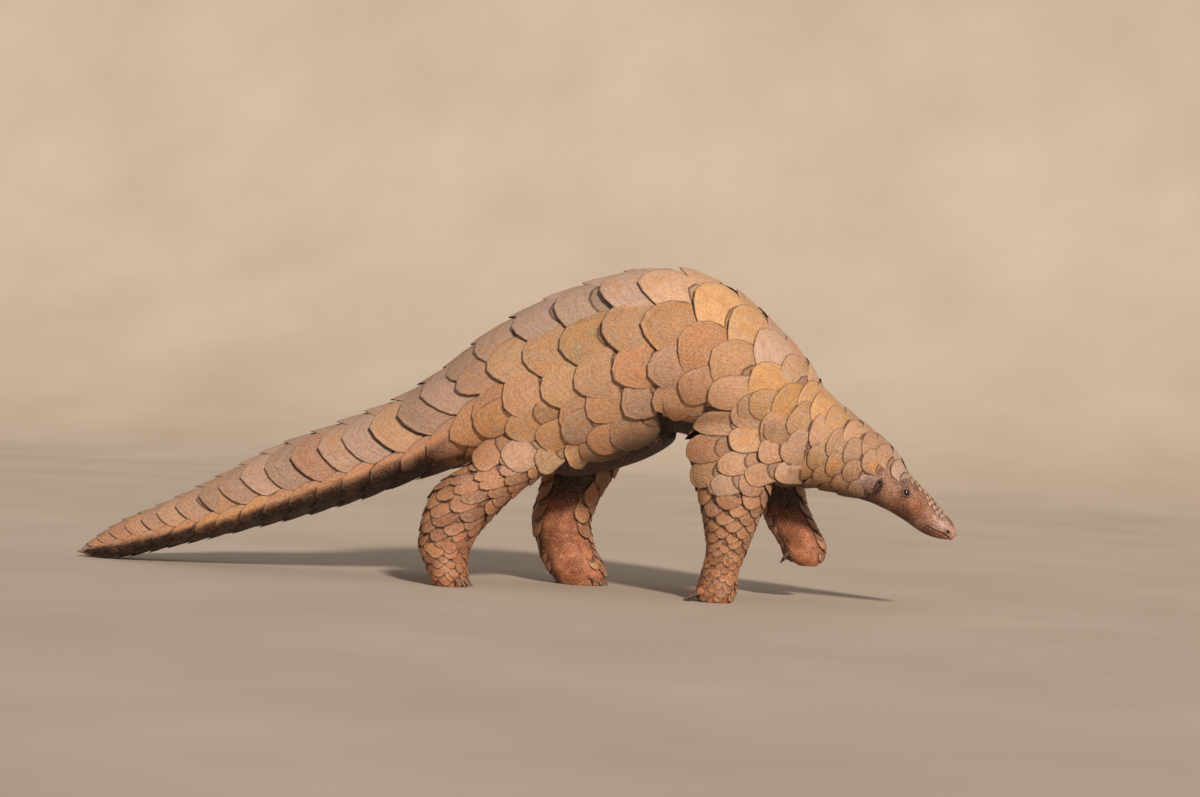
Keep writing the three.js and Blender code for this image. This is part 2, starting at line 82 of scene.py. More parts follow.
# Level sections of a leg in millimetres, from inside the body down to the sole:
# x, y, z, reach ahead, reach behind, half width, length of the scales that shows.
LEG_SECTIONS = {
    "foreleg_right": [
        (142, -48, 176, 34, 34, 22, 38),
        (142, -55, 146, 44, 43, 30, 34),
        (146, -58, 112, 39, 34, 29, 21),
        (146, -57, 79, 28, 25, 25, 13),
        (145, -55, 50, 20, 20, 20, 9),
        (140, -54, 28, 17, 19, 19, 8),
        (138, -54, 12, 19, 21, 20, 8),
        (136, -54, 0, 17, 17, 17, 8),
    ],
    "foreleg_left": [
        (150, 48, 186, 30, 30, 22, 38),
        (160, 55, 154, 36, 36, 30, 32),
        (172, 58, 126, 30, 32, 28, 20),
        (184, 58, 100, 20, 29, 23, 13),
        (197, 57, 76, 18, 32, 20, 10),
        (206, 56, 56, 21, 27, 19, 8.5),
        (207, 56, 42, 19, 21, 18, 8),
        (210, 56, 34, 10, 11, 11, 8),
    ],
    "hindleg_right": [
        (-62, -56, 150, 34, 34, 24, 21),
        (-75, -62, 122, 40, 40, 31, 20),
        (-105, -66, 94, 38, 43, 32, 19),
        (-120, -68, 66, 28, 38, 31, 17),
        (-131, -69, 40, 23, 30, 28, 12),
        (-130, -69, 18, 19, 22, 27, 9),
        (-128, -69, 0, 19, 16, 22, 8.5),
    ],
    "hindleg_left": [
        (-24, 56, 150, 34, 34, 24, 21),
        (-28, 62, 122, 38, 38, 31, 20),
        (-38, 66, 94, 30, 34, 32, 19),
        (-44, 68, 66, 26, 35, 31, 17),
        (-41, 69, 40, 28, 32, 29, 12),
        (-34, 69, 18, 33, 30, 28, 9),
        (-27, 69, 0, 29, 24, 23, 8.5),
    ],
}

# Claws of each foot in millimetres: root, spread, fan in degrees, way, curl, length, thickness.
CLAWS = {
    "fore_right": ((126, -54, 10), 13.5, 8, (-1, 0, -0.26), (0.1, 0, -0.2), 24, 4.6),
    "fore_left": ((196, 56, 50), 12.5, 8, (-0.8, 0, -0.5), (0.1, 0, -0.25), 20, 3.6),
    "hind_right": ((-120, -69, 9), 18, 32, (1, 0, -0.25), (0, 0, -0.5), 15, 3.4),
    "hind_left": ((-12, 69, 9), 18, 32, (1, 0, -0.25), (0, 0, -0.5), 15, 3.4),
}
CLAWS_A_FOOT = 5

# Spots on the head: place, turn in degrees, and in millimetres the depth of the skin and the rise.
Spot = namedtuple("Spot", "place turn depth rise")
EYE = Spot(16.5, 78, 1.0, -2.4)
EAR = Spot(15.4, 109, 2.0, 0.0)
NOSTRIL = Spot(19.3, 92, 0.8, 0.0)
EYE_RADIUS = 4.0
# The pad of an ear in millimetres: reach ahead, reach behind, half height, thickness.
EAR_AHEAD, EAR_BEHIND, EAR_HALF, EAR_THICK = 8.2, 19, 9.5, 4
# The line of the mouth: place and turn.
MOUTH = [(18.1, 120), (18.7, 116), (19.3, 114), (19.7, 135), (19.75, 180)]

# How deep the bed of the scales lies under the outline, and how high a free edge stands over it,
# as shares of the length that shows.
BED_SHARE = 0.13
RISE_SHARE = 0.19
# How much longer a scale is than the length that shows.
LONGER = 1.8

# Long rows of scales on one side, from the middle of the back to the hem over the belly: the turn
# by place, the lag behind the rings in rings by place, the places where the row starts and ends,
# and how much of the full rise its free edges have.
Row = namedtuple("Row", "turns lags start stop rise")
ROWS = [
    Row({0: 0, 20: 0}, {0: 0.5, 11.4: 0.5, 12.3: 0}, 0.25, 15.5, 0.36),
    Row(
        {0: 50, 7.2: 50, 7.9: 43, 8.7: 40, 11: 38, 12: 35, 12.5: 31, 13.2: 38, 14: 44, 15: 40},
        {7.2: 0, 8.7: -0.25, 9.8: -0.1, 10.4: 0.1, 10.8: 0, 11.6: -0.3, 12.3: -0.5},
        0.25,
        15.6,
        0.8,
    ),
    Row(
        {8: 58, 8.8: 63, 9.4: 70, 10.8: 70, 11.2: 76, 11.6: 72, 12.1: 65, 12.5: 61, 13: 66, 14: 73, 15: 70},
        {0: 0, 20: 0},
        7.95,
        15.3,
        0.95,
    ),
    Row(
        {
            0: 97, 7.2: 101, 7.5: 97, 8.3: 90, 9.5: 95, 10: 95,
            10.8: 101, 11.4: 104, 12.3: 92, 12.8: 92, 14: 106, 15: 100,
        },
        {0: 0.6, 7: 0.6, 8.3: 0.05, 9.5: 0.15, 10.4: 0, 11.2: 0, 12.3: 0.4, 20: 0.5},
        0.25,
        14.6,
        0.95,
    ),
    Row(
        {
            8.7: 120, 9: 122, 9.6: 116, 10: 114, 10.3: 121, 11: 128,
            11.6: 128, 12.2: 122, 12.9: 114, 14: 134, 15: 130,
        },
        {8: 0.4, 9.6: 0.37, 10.3: -0.1, 11: 0},
        8.7,
        14.9,
        0.95,
    ),
    Row(
        {9: 146, 10: 141, 10.3: 146, 11: 152, 12: 148, 12.9: 139, 14: 162, 15: 158},
        {8: 0.6, 10: 0.4, 13: 0.5},
        8.95,
        14.7,
        0.95,
    ),
    Row({0: 142, 8: 140}, {0: 0.1, 8: 0.1}, 0.4, 7.8, 0.95),
    Row({0: 180, 8: 180}, {0: 0.6, 8: 0.6}, 0.4, 7.8, 0.95),
]
# The place of a scale in the second row, from which the rings are counted.
RING_AT = 10.79
# The places where the scales of the trunk and of the neck begin.
TRUNK_FROM, NECK_FROM = 8, 12.2
# How far the tips turn down from the line of the back, in degrees by place, low on the sides.
TIPS_DOWN = {8: 0, 8.6: 14, 11.2: 18, 11.6: 26, 12.8: 26, 13.5: 8, 15: 4}
# Where the long rows make room for the legs: least turn, first and last place, and how much
# further ahead that is on the left.
LEG_ROOM = [(106, 10.9, 12.8, 0.2), (106, 8, 9.2, 0), (138, 10.5, 12.8, 0), (88, 11.05, 12.05, 0.2)]
# The lower edge of the scales on the head: turn by place.
COVER = {14.77: 98, 14.93: 82, 15.1: 68, 15.7: 46, 16.31: 29, 16.84: 30, 17.52: 50, 18.3: 56}

# Scales over the shoulder and the thigh in millimetres: x and z of the tip, length that shows,
# half width, and how far the tip turns down in degrees.
SHOULDER = [
    (80, 184, 31, 15, 24),
    (96, 203, 34, 17, 18),
    (110, 173, 38, 14, 4),
    (107, 146, 34, 14, 6),
    (110, 122, 26, 13, 10),
    (124, 203, 38, 16, 8),
    (146, 180, 30, 15, 7),
    (145, 157, 29, 14, 8),
    (138, 133, 25, 12, 10),
    (133, 112, 22, 12, 14),
    (162, 196, 30, 15.5, -8),
    (176, 172, 26, 14, -4),
    (172, 147, 25, 13, 11),
    (163, 123, 23, 12, 14),
    (194, 152, 22, 12.5, -8),
    (190, 131, 20, 11, -4),
]
THIGH = [
    (-103, 157, 34, 17, 32),
    (-71, 152, 32, 16.5, 30),
    (-44, 147, 30, 15, 26),
    (-104, 121, 32, 17, 36),
    (-73, 124, 30, 16, 34),
    (-45, 123, 28, 14.5, 30),
    (-18, 131, 28, 14, 25),
    (-18, 157, 30, 15, 24),
    (6, 147, 28, 14, 22),
]

# The places on each leg between which it has scales.
LEG_SPAN = {
    "foreleg_right": (0.75, 6.95),
    "foreleg_left": (0.75, 6.6),
    "hindleg_right": (0.6, 5.92),
    "hindleg_left": (0.6, 5.7),
}
# How far the tips of a leg's scales turn backward, in degrees by height in millimetres.
TIPS_BACK = {
    "foreleg": {45: 12, 70: 25, 112: 50, 140: 66},
    "hindleg": {30: 5, 70: 18, 100: 28, 130: 34},
}
# The height in millimetres above which the scales over the shoulder or thigh lie on a leg.
SHEET_ENDS = {"foreleg": 116, "hindleg": 125}


def spline(rows, k):
    """Smooth curve through the rows, at the places k."""
    last = len(rows) - 1
    k = np.clip(np.asarray(k, float), 0, last)
    i = np.minimum(k.astype(int), last - 1)
    w = (k - i)[..., None]
    padded = np.vstack([2 * rows[:1] - rows[1:2], rows, 2 * rows[-1:] - rows[-2:-1]])
    p0, p1, p2, p3 = (padded[i + j] for j in range(4))
    m1, m2 = (p2 - p0) / 2, (p3 - p1) / 2
    return p1 + m1 * w + (-3 * p1 + 3 * p2 - 2 * m1 - m2) * w**2 + (2 * p1 - 2 * p2 + m1 + m2) * w**3


def smoothstep(x, low, high):
    t = np.clip((np.asarray(x, float) - low) / (high - low), 0, 1)
    return t * t * (3 - 2 * t)


def at(table, k):
    """The value of a table at k, between its entries in a straight line."""
    return np.interp(k, list(table), list(table.values()))


def unit(v):
    return v / np.maximum(np.linalg.norm(v, axis=-1, keepdims=True), 1e-12)


def ridges(distance, sizes):
    """Smooth ridges, each with its height, its distance and its width."""
    return sum(height * np.exp(-(((distance - far) / width) ** 2)) for height, far, width in sizes)


class Form:
    """A surface lofted through sections. A place counts sections from the first one, and a turn
    is the angle round a section, from its top (or a leg's front) towards +Y."""

    LEAST_REACH = 0.0005

    def __init__(self, rows, is_leg, shift=(0, 0, 0)):
        self.rows = np.array(rows, float) * MM
        self.rows[:, :3] += np.array(shift)
        self.last = len(rows) - 1
        self.is_leg = is_leg
        self.rootward = -1 if is_leg else 1

    def pitch(self, k):
        """Length of the scales that shows."""
        return spline(self.rows, k)[..., 6]

    def bed(self, k):
        return self.pitch(k) * BED_SHARE

    def ahead(self, k):
        step = 1e-3
        k = np.asarray(k)
        return unit(spline(self.rows, k + step)[..., :3] - spline(self.rows, k - step)[..., :3])

    def out(self, k):
        t = self.ahead(k)
        if self.is_leg:
            return np.broadcast_to(np.array([1.0, 0, 0]), t.shape)
        return np.stack([-t[..., 2], np.zeros(t.shape[:-1]), t[..., 0]], -1)

    def surface(self, k, turn, depth):
        k, turn, depth = np.broadcast_arrays(np.asarray(k, float), turn, depth)
        s = spline(self.rows, k)
        c, sn = np.cos(turn), np.sin(turn)
        reach = np.maximum(np.where(c > 0, s[..., 3], s[..., 4]) - depth, self.LEAST_REACH)
        half = np.maximum(s[..., 5] - depth, self.LEAST_REACH)
        p = s[..., :3] + self.out(k) * (c * reach)[..., None]
        p[..., 1] += sn * half
        return p

    def normal(self, k, turn, depth):
        step = 0.02
        after, before = np.minimum(k + step, self.last), np.maximum(k - step, 0)
        along = self.surface(after, turn, depth) - self.surface(before, turn, depth)
        around = self.surface(k, turn + step, depth) - self.surface(k, turn - step, depth)
        return unit(np.cross(along, around))

    def raised(self, k, turn, depth, lift):
        k, turn, depth, lift = np.broadcast_arrays(np.asarray(k, float), turn, depth, lift)
        return self.surface(k, turn, depth) + self.normal(k, turn, depth) * lift[..., None]

    def per_place(self, k, turn, depth=0.002):
        """Metres along the surface for one place."""
        low, high = np.maximum(k - 0.2, 0), np.minimum(k + 0.2, self.last)
        step = self.surface(high, turn, depth) - self.surface(low, turn, depth)
        return np.linalg.norm(step, axis=-1) / (high - low)

    def turned(self, k, turn, distances):
        """The turns reached by going distances round the section, a little past the far side."""
        around = turn + np.linspace(-1.1 * math.pi, 1.1 * math.pi, 177)
        line = self.surface(k, around, self.bed(k))
        arc = np.concatenate([[0], np.cumsum(np.linalg.norm(np.diff(line, axis=0), axis=1))])
        return np.interp(np.interp(turn, around, arc) + distances, arc, around)

    def round_about(self, k):
        """Metres round the section."""
        line = self.surface(k, np.linspace(0, 2 * math.pi, 61), self.bed(k))
        return float(np.linalg.norm(np.diff(line, axis=0), axis=1).sum())


def seated(form, spot, side):
    """Where a spot lies on a form, and the way out of the form there."""
    turn, depth = math.radians(spot.turn) * side, spot.depth * MM
    return form.raised(spot.place, turn, depth, spot.rise * MM), form.normal(spot.place, turn, depth)


def box_centre(node):
    low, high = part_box(node)
    return (np.array(low) + np.array(high)) / 2


# The solids stand with their box centred on the origin: the eyes show how far they were moved.
SPINE_ROWS = [(x, 0, z, *sizes) for x, z, *sizes in SPINE.values()]
eye_there, _ = seated(Form(SPINE_ROWS, False), EYE, 1)
eyes_here = (box_centre("eye_right") + box_centre("eye_left")) / 2
SHIFT = np.array([eyes_here[0] - eye_there[0], eyes_here[1], 0.0])

body = Form(SPINE_ROWS, False, SHIFT)
legs = {name: Form(rows, True, SHIFT) for name, rows in LEG_SECTIONS.items()}


class Sheet:
    """The outer side of the body and of one leg together, as widths over a grid of cells. A place
    counts lengths of 100 mm along X, and a turn is a height in metres, counted upward on the right
    side and downward on the left."""

    rootward = 1
    PLACE_LENGTH = 0.1
    CELL = 0.003
    BED = 0.0015
    SMOOTHINGS = 4

    def __init__(self, name):
        self.side = SIDES[name.split("_")[1]]
        self.x = np.arange(-0.19, 0.26, self.CELL) + SHIFT[0]
        self.z = np.arange(0.05, 0.29, self.CELL)
        x, z = np.meshgrid(self.x, self.z, indexing="ij")
        # The body, seen from the side: its nearest section, and how far up that section a cell lies
        k = np.linspace(6.5, 16, 381)
        rows, ahead, out = spline(body.rows, k), body.ahead(k), body.out(k)
        off = (x[..., None] - rows[:, 0]) * ahead[:, 0] + (z[..., None] - rows[:, 2]) * ahead[:, 2]
        nearest = np.abs(off).argmin(axis=-1)
        s, way = rows[nearest], out[nearest]
        up = (x - s[..., 0]) * way[..., 0] + (z - s[..., 2]) * way[..., 2]
        y = s[..., 5] * np.sqrt(np.clip(1 - (up / np.where(up > 0, s[..., 3], s[..., 4])) ** 2, 0, 1))
        # The leg, where it stands further out
        leg = legs[name].rows[::-1]
        x0, y0, before, behind, half = (np.interp(z, leg[:, 2], leg[:, j]) for j in (0, 1, 3, 4, 5))
        t = (x - x0) / np.where(x > x0, before, behind)
        reach = np.abs(y0) + half * np.sqrt(np.clip(1 - t**2, 0.15, 1))
        y = np.maximum(y, np.where((np.abs(t) < 1.5) & (z < leg[-1, 2]), reach, 0))
        for _ in range(self.SMOOTHINGS):
            beside = y[2:, 1:-1] + y[:-2, 1:-1] + y[1:-1, 2:] + y[1:-1, :-2]
            y[1:-1, 1:-1] = (2 * y[1:-1, 1:-1] + beside) / 6
        self.y = y

    def bed(self, k):
        return np.full(np.shape(k), self.BED)

    def surface(self, k, turn, depth):
        k, turn, depth = np.broadcast_arrays(np.asarray(k, float), turn, depth)
        x, z = k * self.PLACE_LENGTH, -self.side * turn
        i = np.clip((x - self.x[0]) / self.CELL, 0, len(self.x) - 1.001)
        j = np.clip((z - self.z[0]) / self.CELL, 0, len(self.z) - 1.001)
        a, b = i.astype(int), j.astype(int)
        u, v = i - a, j - b
        y = (self.y[a, b] * (1 - u) + self.y[a + 1, b] * u) * (1 - v)
        y = y + (self.y[a, b + 1] * (1 - u) + self.y[a + 1, b + 1] * u) * v
        return np.stack([x, self.side * (y - depth), z], -1)

    def normal(self, k, turn, depth):
        along = self.surface(k + 0.05, turn, depth) - self.surface(k - 0.05, turn, depth)
        around = self.surface(k, turn + 0.005, depth) - self.surface(k, turn - 0.005, depth)
        return unit(np.cross(along, around))

    def per_place(self, k, turn):
        step = 0.05
        along = self.surface(k + step, turn, 0) - self.surface(k - step, turn, 0)
        return float(np.linalg.norm(along)) / (2 * step)

    def turned(self, k, turn, distances):
        return turn + distances


def placed(name, data):
    """A new object in the scene, at the origin."""
    thing = bpy.data.objects.new(name, data)
    bpy.context.collection.objects.link(thing)
    return thing


def mesh_from(bm, name):
    """A new mesh with the faces of a bmesh, which is freed."""
    mesh = bpy.data.meshes.new(name)
    bm.to_mesh(mesh)
    bm.free()
    return mesh


def mesh_points(mesh):
    co = np.empty(len(mesh.vertices) * 3)
    mesh.vertices.foreach_get("co", co)
    return co.reshape(-1, 3)


# The camera stands 3 m off, 12 degrees ahead of the side view, and leans over a little.
FRAME_WIDTH = 1200
SENSOR_WIDTH = 36
FOCAL_PIXELS = 3000.0
DISTANCE, HEIGHT = 3.0, 0.22
TILT_PIXELS = 28.5
LEAN = 0.05
YAW = math.radians(12)
PITCH = math.atan(TILT_PIXELS / FOCAL_PIXELS)
ROLL = math.atan(LEAN)


def set_camera():
    ahead = Vector((-math.sin(YAW) * math.cos(PITCH), math.cos(YAW) * math.cos(PITCH), -math.sin(PITCH)))
    right = Vector((math.cos(YAW), math.sin(YAW), 0))
    up = right.cross(ahead)
    across = right * math.cos(ROLL) + up * math.sin(ROLL)
    above = up * math.cos(ROLL) - right * math.sin(ROLL)
    data = bpy.data.cameras.new("camera")
    data.sensor_width = SENSOR_WIDTH
    data.lens = SENSOR_WIDTH * FOCAL_PIXELS / FRAME_WIDTH
    data.clip_end = 50
    camera = placed("camera", data)
    place = Vector((DISTANCE * math.sin(YAW), -DISTANCE * math.cos(YAW), HEIGHT)) + Vector(SHIFT)
    turn = Matrix((across, above, -ahead)).transposed().to_4x4()
    camera.matrix_world = Matrix.Translation(place) @ turn
    bpy.context.scene.camera = camera


class Finish:
    """A material that is put together node by node."""

    def __init__(self, name):
        self.material = bpy.data.materials.new(name)
        self.material.use_nodes = True
        self.tree = self.material.node_tree
        self.shader = self.tree.nodes["Principled BSDF"]
        self.place = self.node("ShaderNodeTexCoord").outputs["Object"]

    def feed(self, node, values):
        """Sets or links the inputs of a node."""
        for key, value in values.items():
            if isinstance(value, bpy.types.NodeSocket):
                self.tree.links.new(value, node.inputs[key])
            else:
                node.inputs[key].default_value = value

    def node(self, kind, inputs=None, **settings):
        made = self.tree.nodes.new(kind)
        for key, value in settings.items():
            setattr(made, key, value)
        self.feed(made, inputs or {})
        return made

    def attribute(self, name, output="Fac"):
        return self.node("ShaderNodeAttribute", attribute_name=name).outputs[output]

    def ranged(self, value, low, high, to_low=0.0, to_high=1.0):
        limits = {"From Min": low, "From Max": high, "To Min": to_low, "To Max": to_high}
        return self.node("ShaderNodeMapRange", {"Value": value, **limits}).outputs[0]

    def math(self, operation, first, second):
        return self.node("ShaderNodeMath", {0: first, 1: second}, operation=operation).outputs[0]

    def blended(self, kind, share, first, second):
        inputs = {0: share, 6: first, 7: second}
        return self.node("ShaderNodeMix", inputs, data_type="RGBA", blend_type=kind).outputs[2]

    def mix(self, share, first, second):
        return self.blended("MIX", share, first, second)

    def tint(self, share, first, second):
        return self.blended("MULTIPLY", share, first, second)

    def noise(self, scale, detail=4.0, roughness=0.6, stretch=None, vector=None):
        """Noise over the object, or over another vector, drawn out along its axes."""
        vector = self.place if vector is None else vector
        if stretch:
            vector = self.node("ShaderNodeMapping", {"Vector": vector, "Scale": stretch}).outputs[0]
        inputs = {"Vector": vector, "Scale": scale, "Detail": detail, "Roughness": roughness}
        return self.node("ShaderNodeTexNoise", inputs).outputs[0]

    def bumped(self, height, strength, distance):
        inputs = {"Height": height, "Strength": strength, "Distance": distance}
        self.feed(self.shader, {"Normal": self.node("ShaderNodeBump", inputs).outputs[0]})


def horn_material():
    """Horn of the scales: fine grooves from root to tip, faint growth lines, stains and specks, worn
    pale towards the free edge; painted shade on the free edge, in the crevice beside the scale above, on
    each scale's underside, and under the body and tail."""
    horn = Finish("horn_scale")
    painted = horn.node("ShaderNodeAttribute", attribute_name="horn")
    lie = horn.node("ShaderNodeUVMap", uv_map="lie").outputs[0]
    grooves = horn.noise(1.0, 3.0, 0.65, (620, 45, 1), lie)
    growth = horn.noise(1.0, 2.0, 0.5, (22, 300, 1), lie)
    blotch = horn.noise(62.0, 3.0, 0.62)
    patch = horn.noise(120.0, 3.0, 0.6)
    specks = horn.noise(520.0, 2.5, 0.7)
    rim = horn.attribute("rim")
    covered = horn.attribute("covered")
    shades = horn.mix(horn.ranged(grooves, 0.3, 0.7), (0.84, 0.82, 0.80, 1), (1.1, 1.1, 1.1, 1))
    tone = horn.tint(1.0, painted.outputs["Color"], shades)
    tone = horn.tint(horn.ranged(growth, 0.52, 0.66, 0, 0.4), tone, (0.66, 0.56, 0.48, 1))
    tone = horn.mix(horn.ranged(patch, 0.5, 0.66, 0, 0.4), tone, (0.34, 0.235, 0.175, 1))
    stain = horn.math("MULTIPLY", horn.ranged(blotch, 0.47, 0.66), horn.attribute("stain"))
    tone = horn.mix(stain, tone, (0.50, 0.22, 0.075, 1))
    tone = horn.tint(horn.ranged(specks, 0.53, 0.66, 0, 0.6), tone, (0.62, 0.54, 0.48, 1))
    tone = horn.mix(horn.ranged(specks, 0.47, 0.36, 0, 0.3), tone, (0.62, 0.46, 0.33, 1))
    worn = horn.math("MULTIPLY", horn.ranged(rim, 0.0012, 0.003, 0.3, 0), horn.ranged(blotch, 0.4, 0.6))
    tone = horn.mix(worn, tone, (0.62, 0.42, 0.27, 1))
    # Painted shade: a thin dark line along the free edge of each scale.
    tone = horn.mix(horn.ranged(rim, 0.0004, 0.0014, 0.72, 0), tone, (0.12, 0.048, 0.026, 1))
    # Painted shade, held in the fourth number of the painted colours: darker under the trunk, the neck and
    # the tail.
    tone = horn.tint(1.0, tone, painted.outputs["Alpha"])
    # Painted shade in the crevice just behind the free edge of the scale above.
    above, below = horn.ranged(covered, -1.8, -0.4, 0, 0.8), horn.ranged(covered, 0.6, 2.2, 1, 0.3)
    tone = horn.mix(horn.math("MULTIPLY", above, below), tone, (0.07, 0.03, 0.018, 1))
    # Painted shade on the underside and the side walls of each scale.
    tone = horn.mix(horn.ranged(horn.attribute("under"), 0.1, 0.8), tone, (0.035, 0.018, 0.011, 1))
    rough = horn.ranged(specks, 0.3, 0.7, 0.5, 0.68)
    horn.feed(horn.shader, {"Base Color": tone, "Roughness": rough, "Specular IOR Level": 0.32})
    horn.bumped(horn.math("ADD", horn.math("ADD", grooves, growth), specks), 0.6, 0.001)
    return horn.material


def skin_material():
    """Skin: coloured by place along the body, with fine wrinkles and pores."""
    hide = Finish("bare_skin")
    pores = hide.noise(700.0, 3.0, 0.7)
    patches = hide.noise(140.0)
    cells = {"Vector": hide.place, "Scale": 420.0}
    edges = hide.node("ShaderNodeTexVoronoi", cells, feature="DISTANCE_TO_EDGE").outputs[0]
    creases = hide.ranged(edges, 0.0, 0.12)
    tones = hide.mix(hide.ranged(patches, 0.3, 0.7), (0.68, 0.64, 0.62, 1), (1.24, 1.22, 1.2, 1))
    clouds = hide.ranged(hide.noise(42.0), 0.38, 0.6)
    shades = hide.mix(clouds, (0.62, 0.52, 0.46, 1), (1.14, 1.12, 1.1, 1))
    tone = hide.tint(1.0, hide.attribute("hide", "Color"), shades)
    tone = hide.tint(1.0, tone, tones)
    tone = hide.tint(hide.ranged(pores, 0.5, 0.62, 0, 0.8), tone, (0.48, 0.38, 0.34, 1))
    tone = hide.mix(hide.ranged(pores, 0.46, 0.36, 0, 0.3), tone, (0.6, 0.45, 0.36, 1))
    rough = hide.ranged(pores, 0.3, 0.7, 0.5, 0.75)
    hide.feed(hide.shader, {"Base Color": tone, "Roughness": rough, "Specular IOR Level": 0.4})
    hide.bumped(hide.math("ADD", hide.math("ADD", creases, patches), pores), 0.5, 0.0007)
    return hide.material


def claw_material():
    claw = Finish("claw_horn")
    streaks = claw.noise(260.0, 4.0, 0.6, (1, 3, 3))
    tone = claw.mix(claw.ranged(streaks, 0.35, 0.7), (0.055, 0.032, 0.022, 1), (0.24, 0.15, 0.095, 1))
    claw.feed(claw.shader, {"Base Color": tone, "Roughness": 0.42})
    claw.bumped(streaks, 0.4, 0.0005)
    return claw.material


def eye_material():
    eye = Finish("dark_eye")
    fleck = eye.ranged(eye.noise(900.0, 2.0, 0.5), 0.4, 0.7)
    tone = eye.mix(fleck, (0.006, 0.004, 0.003, 1), (0.03, 0.016, 0.01, 1))
    gloss = {"Roughness": 0.12, "Coat Weight": 0.6, "Coat Roughness": 0.06}
    eye.feed(eye.shader, {"Base Color": tone, **gloss})
    return eye.material


# Colours of the horn
TAN = (0.45, 0.24, 0.127)
# Lilac grey: the horn's own colour, and on the tail and rump also a painted sheen.
LILAC_AND_SHEEN = (0.42, 0.268, 0.205)
BACK_PINK = (0.56, 0.365, 0.285)
OCHRE = (0.66, 0.32, 0.065)
RUST = (0.43, 0.13, 0.038)
UMBER = (0.31, 0.115, 0.05)
OLIVE = (0.42, 0.25, 0.095)
# A painted highlight on the lower edge of the tail.
TAIL_RIM_HIGHLIGHT = (0.60, 0.27, 0.11)
# Pale towards the nose: partly the horn's own colour, partly a painted highlight.
NOSE_PALE_AND_HIGHLIGHT = (0.46, 0.31, 0.25)
# Painted shade under the tail.
UNDER_TAIL_SHADE = (0.085, 0.024, 0.012)
# Larger stains on the back and the side: x, z and radius in millimetres, colour, strength.
STAINS = [
    (118, 300, 42, OCHRE, 0.9),
    (183, 228, 22, OCHRE, 1.0),
    (203, 213, 18, OCHRE, 0.8),
    (60, 300, 40, OCHRE, 0.35),
    (44, 226, 24, RUST, 0.75),
    (79, 252, 22, RUST, 0.7),
    (-130, 145, 42, RUST, 0.6),
    (-20, 250, 40, OLIVE, 0.5),
]

# Colours of the skin
DUST = (0.48, 0.185, 0.082)
# The belly's own dark skin, and painted shade under the body.
DARK_BELLY_AND_SHADE = (0.06, 0.032, 0.022)
# Painted shade on the rear edge of the left legs.
LEG_BACK_SHADE = (0.11, 0.05, 0.03)
FACE_BROWN = (0.32, 0.165, 0.10)
TAIL_END = (0.336, 0.2144, 0.164)
# Painted shade on the skin in the gaps between the scales.
UNDER_SCALES_SHADE = (0.05, 0.02, 0.012)
# The ear pad's colour, and painted shade in the ear's slot.
EAR_PAD, EAR_SLOT_SHADE = (0.44, 0.30, 0.26), (0.06, 0.02, 0.012)
# Painted shade in the crease of the mouth.
MOUTH_CREASE_SHADE = (0.06, 0.03, 0.022)
# Tones of the face, among them painted shade under the jaw and throat and a painted highlight on the snout:
# place, turn, radius in millimetres, colour, strength.
FACE_TONES = [
    (15.3, 100, 26, (0.36, 0.18, 0.105), 0.8),
    (16.0, 98, 12, (0.42, 0.23, 0.14), 0.8),
    (16.2, 60, 11, (0.26, 0.14, 0.105), 0.7),
    (17.2, 96, 13, (0.46, 0.18, 0.08), 0.85),
    # Painted shade under the jaw.
    (16.9, 146, 18, (0.085, 0.026, 0.013), 0.95),
    (16.5, 78, 8, (0.24, 0.10, 0.06), 0.5),
    (16.6, 124, 13, (0.27, 0.10, 0.05), 0.7),
    # Painted shade under the throat, and under the lower edge of the scales near the ear.
    (15.2, 170, 30, (0.07, 0.024, 0.014), 0.95),
    (15.2, 76, 8, (0.10, 0.038, 0.024), 0.8),
    # Painted shade under the lower jaw.
    (18.3, 150, 12, (0.16, 0.05, 0.025), 0.85),
    # The pale lilac pink on top of the snout: partly its own colour, partly a painted highlight.
    (17.9, 78, 10, (0.60, 0.35, 0.27), 0.8),
    (18.7, 84, 10, (0.64, 0.44, 0.40), 0.9),
    (19.5, 60, 8, (0.46, 0.27, 0.215), 0.7),
    (19.3, 100, 5, (0.20, 0.09, 0.065), 0.6),
    (18.9, 128, 7, (0.36, 0.11, 0.052), 0.9),
]
# The dark skin of lids, and painted shade in the nostrils: colour, strength, and where it fades in
# millimetres.
DARK_SKIN_AND_SHADE = {
    "eye": ((0.10, 0.04, 0.028), 0.85, 3.6, 7.0),
    "nostril": ((0.03, 0.015, 0.012), 1.0, 1.4, 2.6),
}


def blend(first, second, share):
    share = np.asarray(share)[..., None]
    return first * (1 - share) + np.asarray(second) * share


def side_place(points):
    """x and z of points in millimetres, as the tables give them."""
    return (points[..., 0] - SHIFT[0]) / MM, points[..., 2] / MM


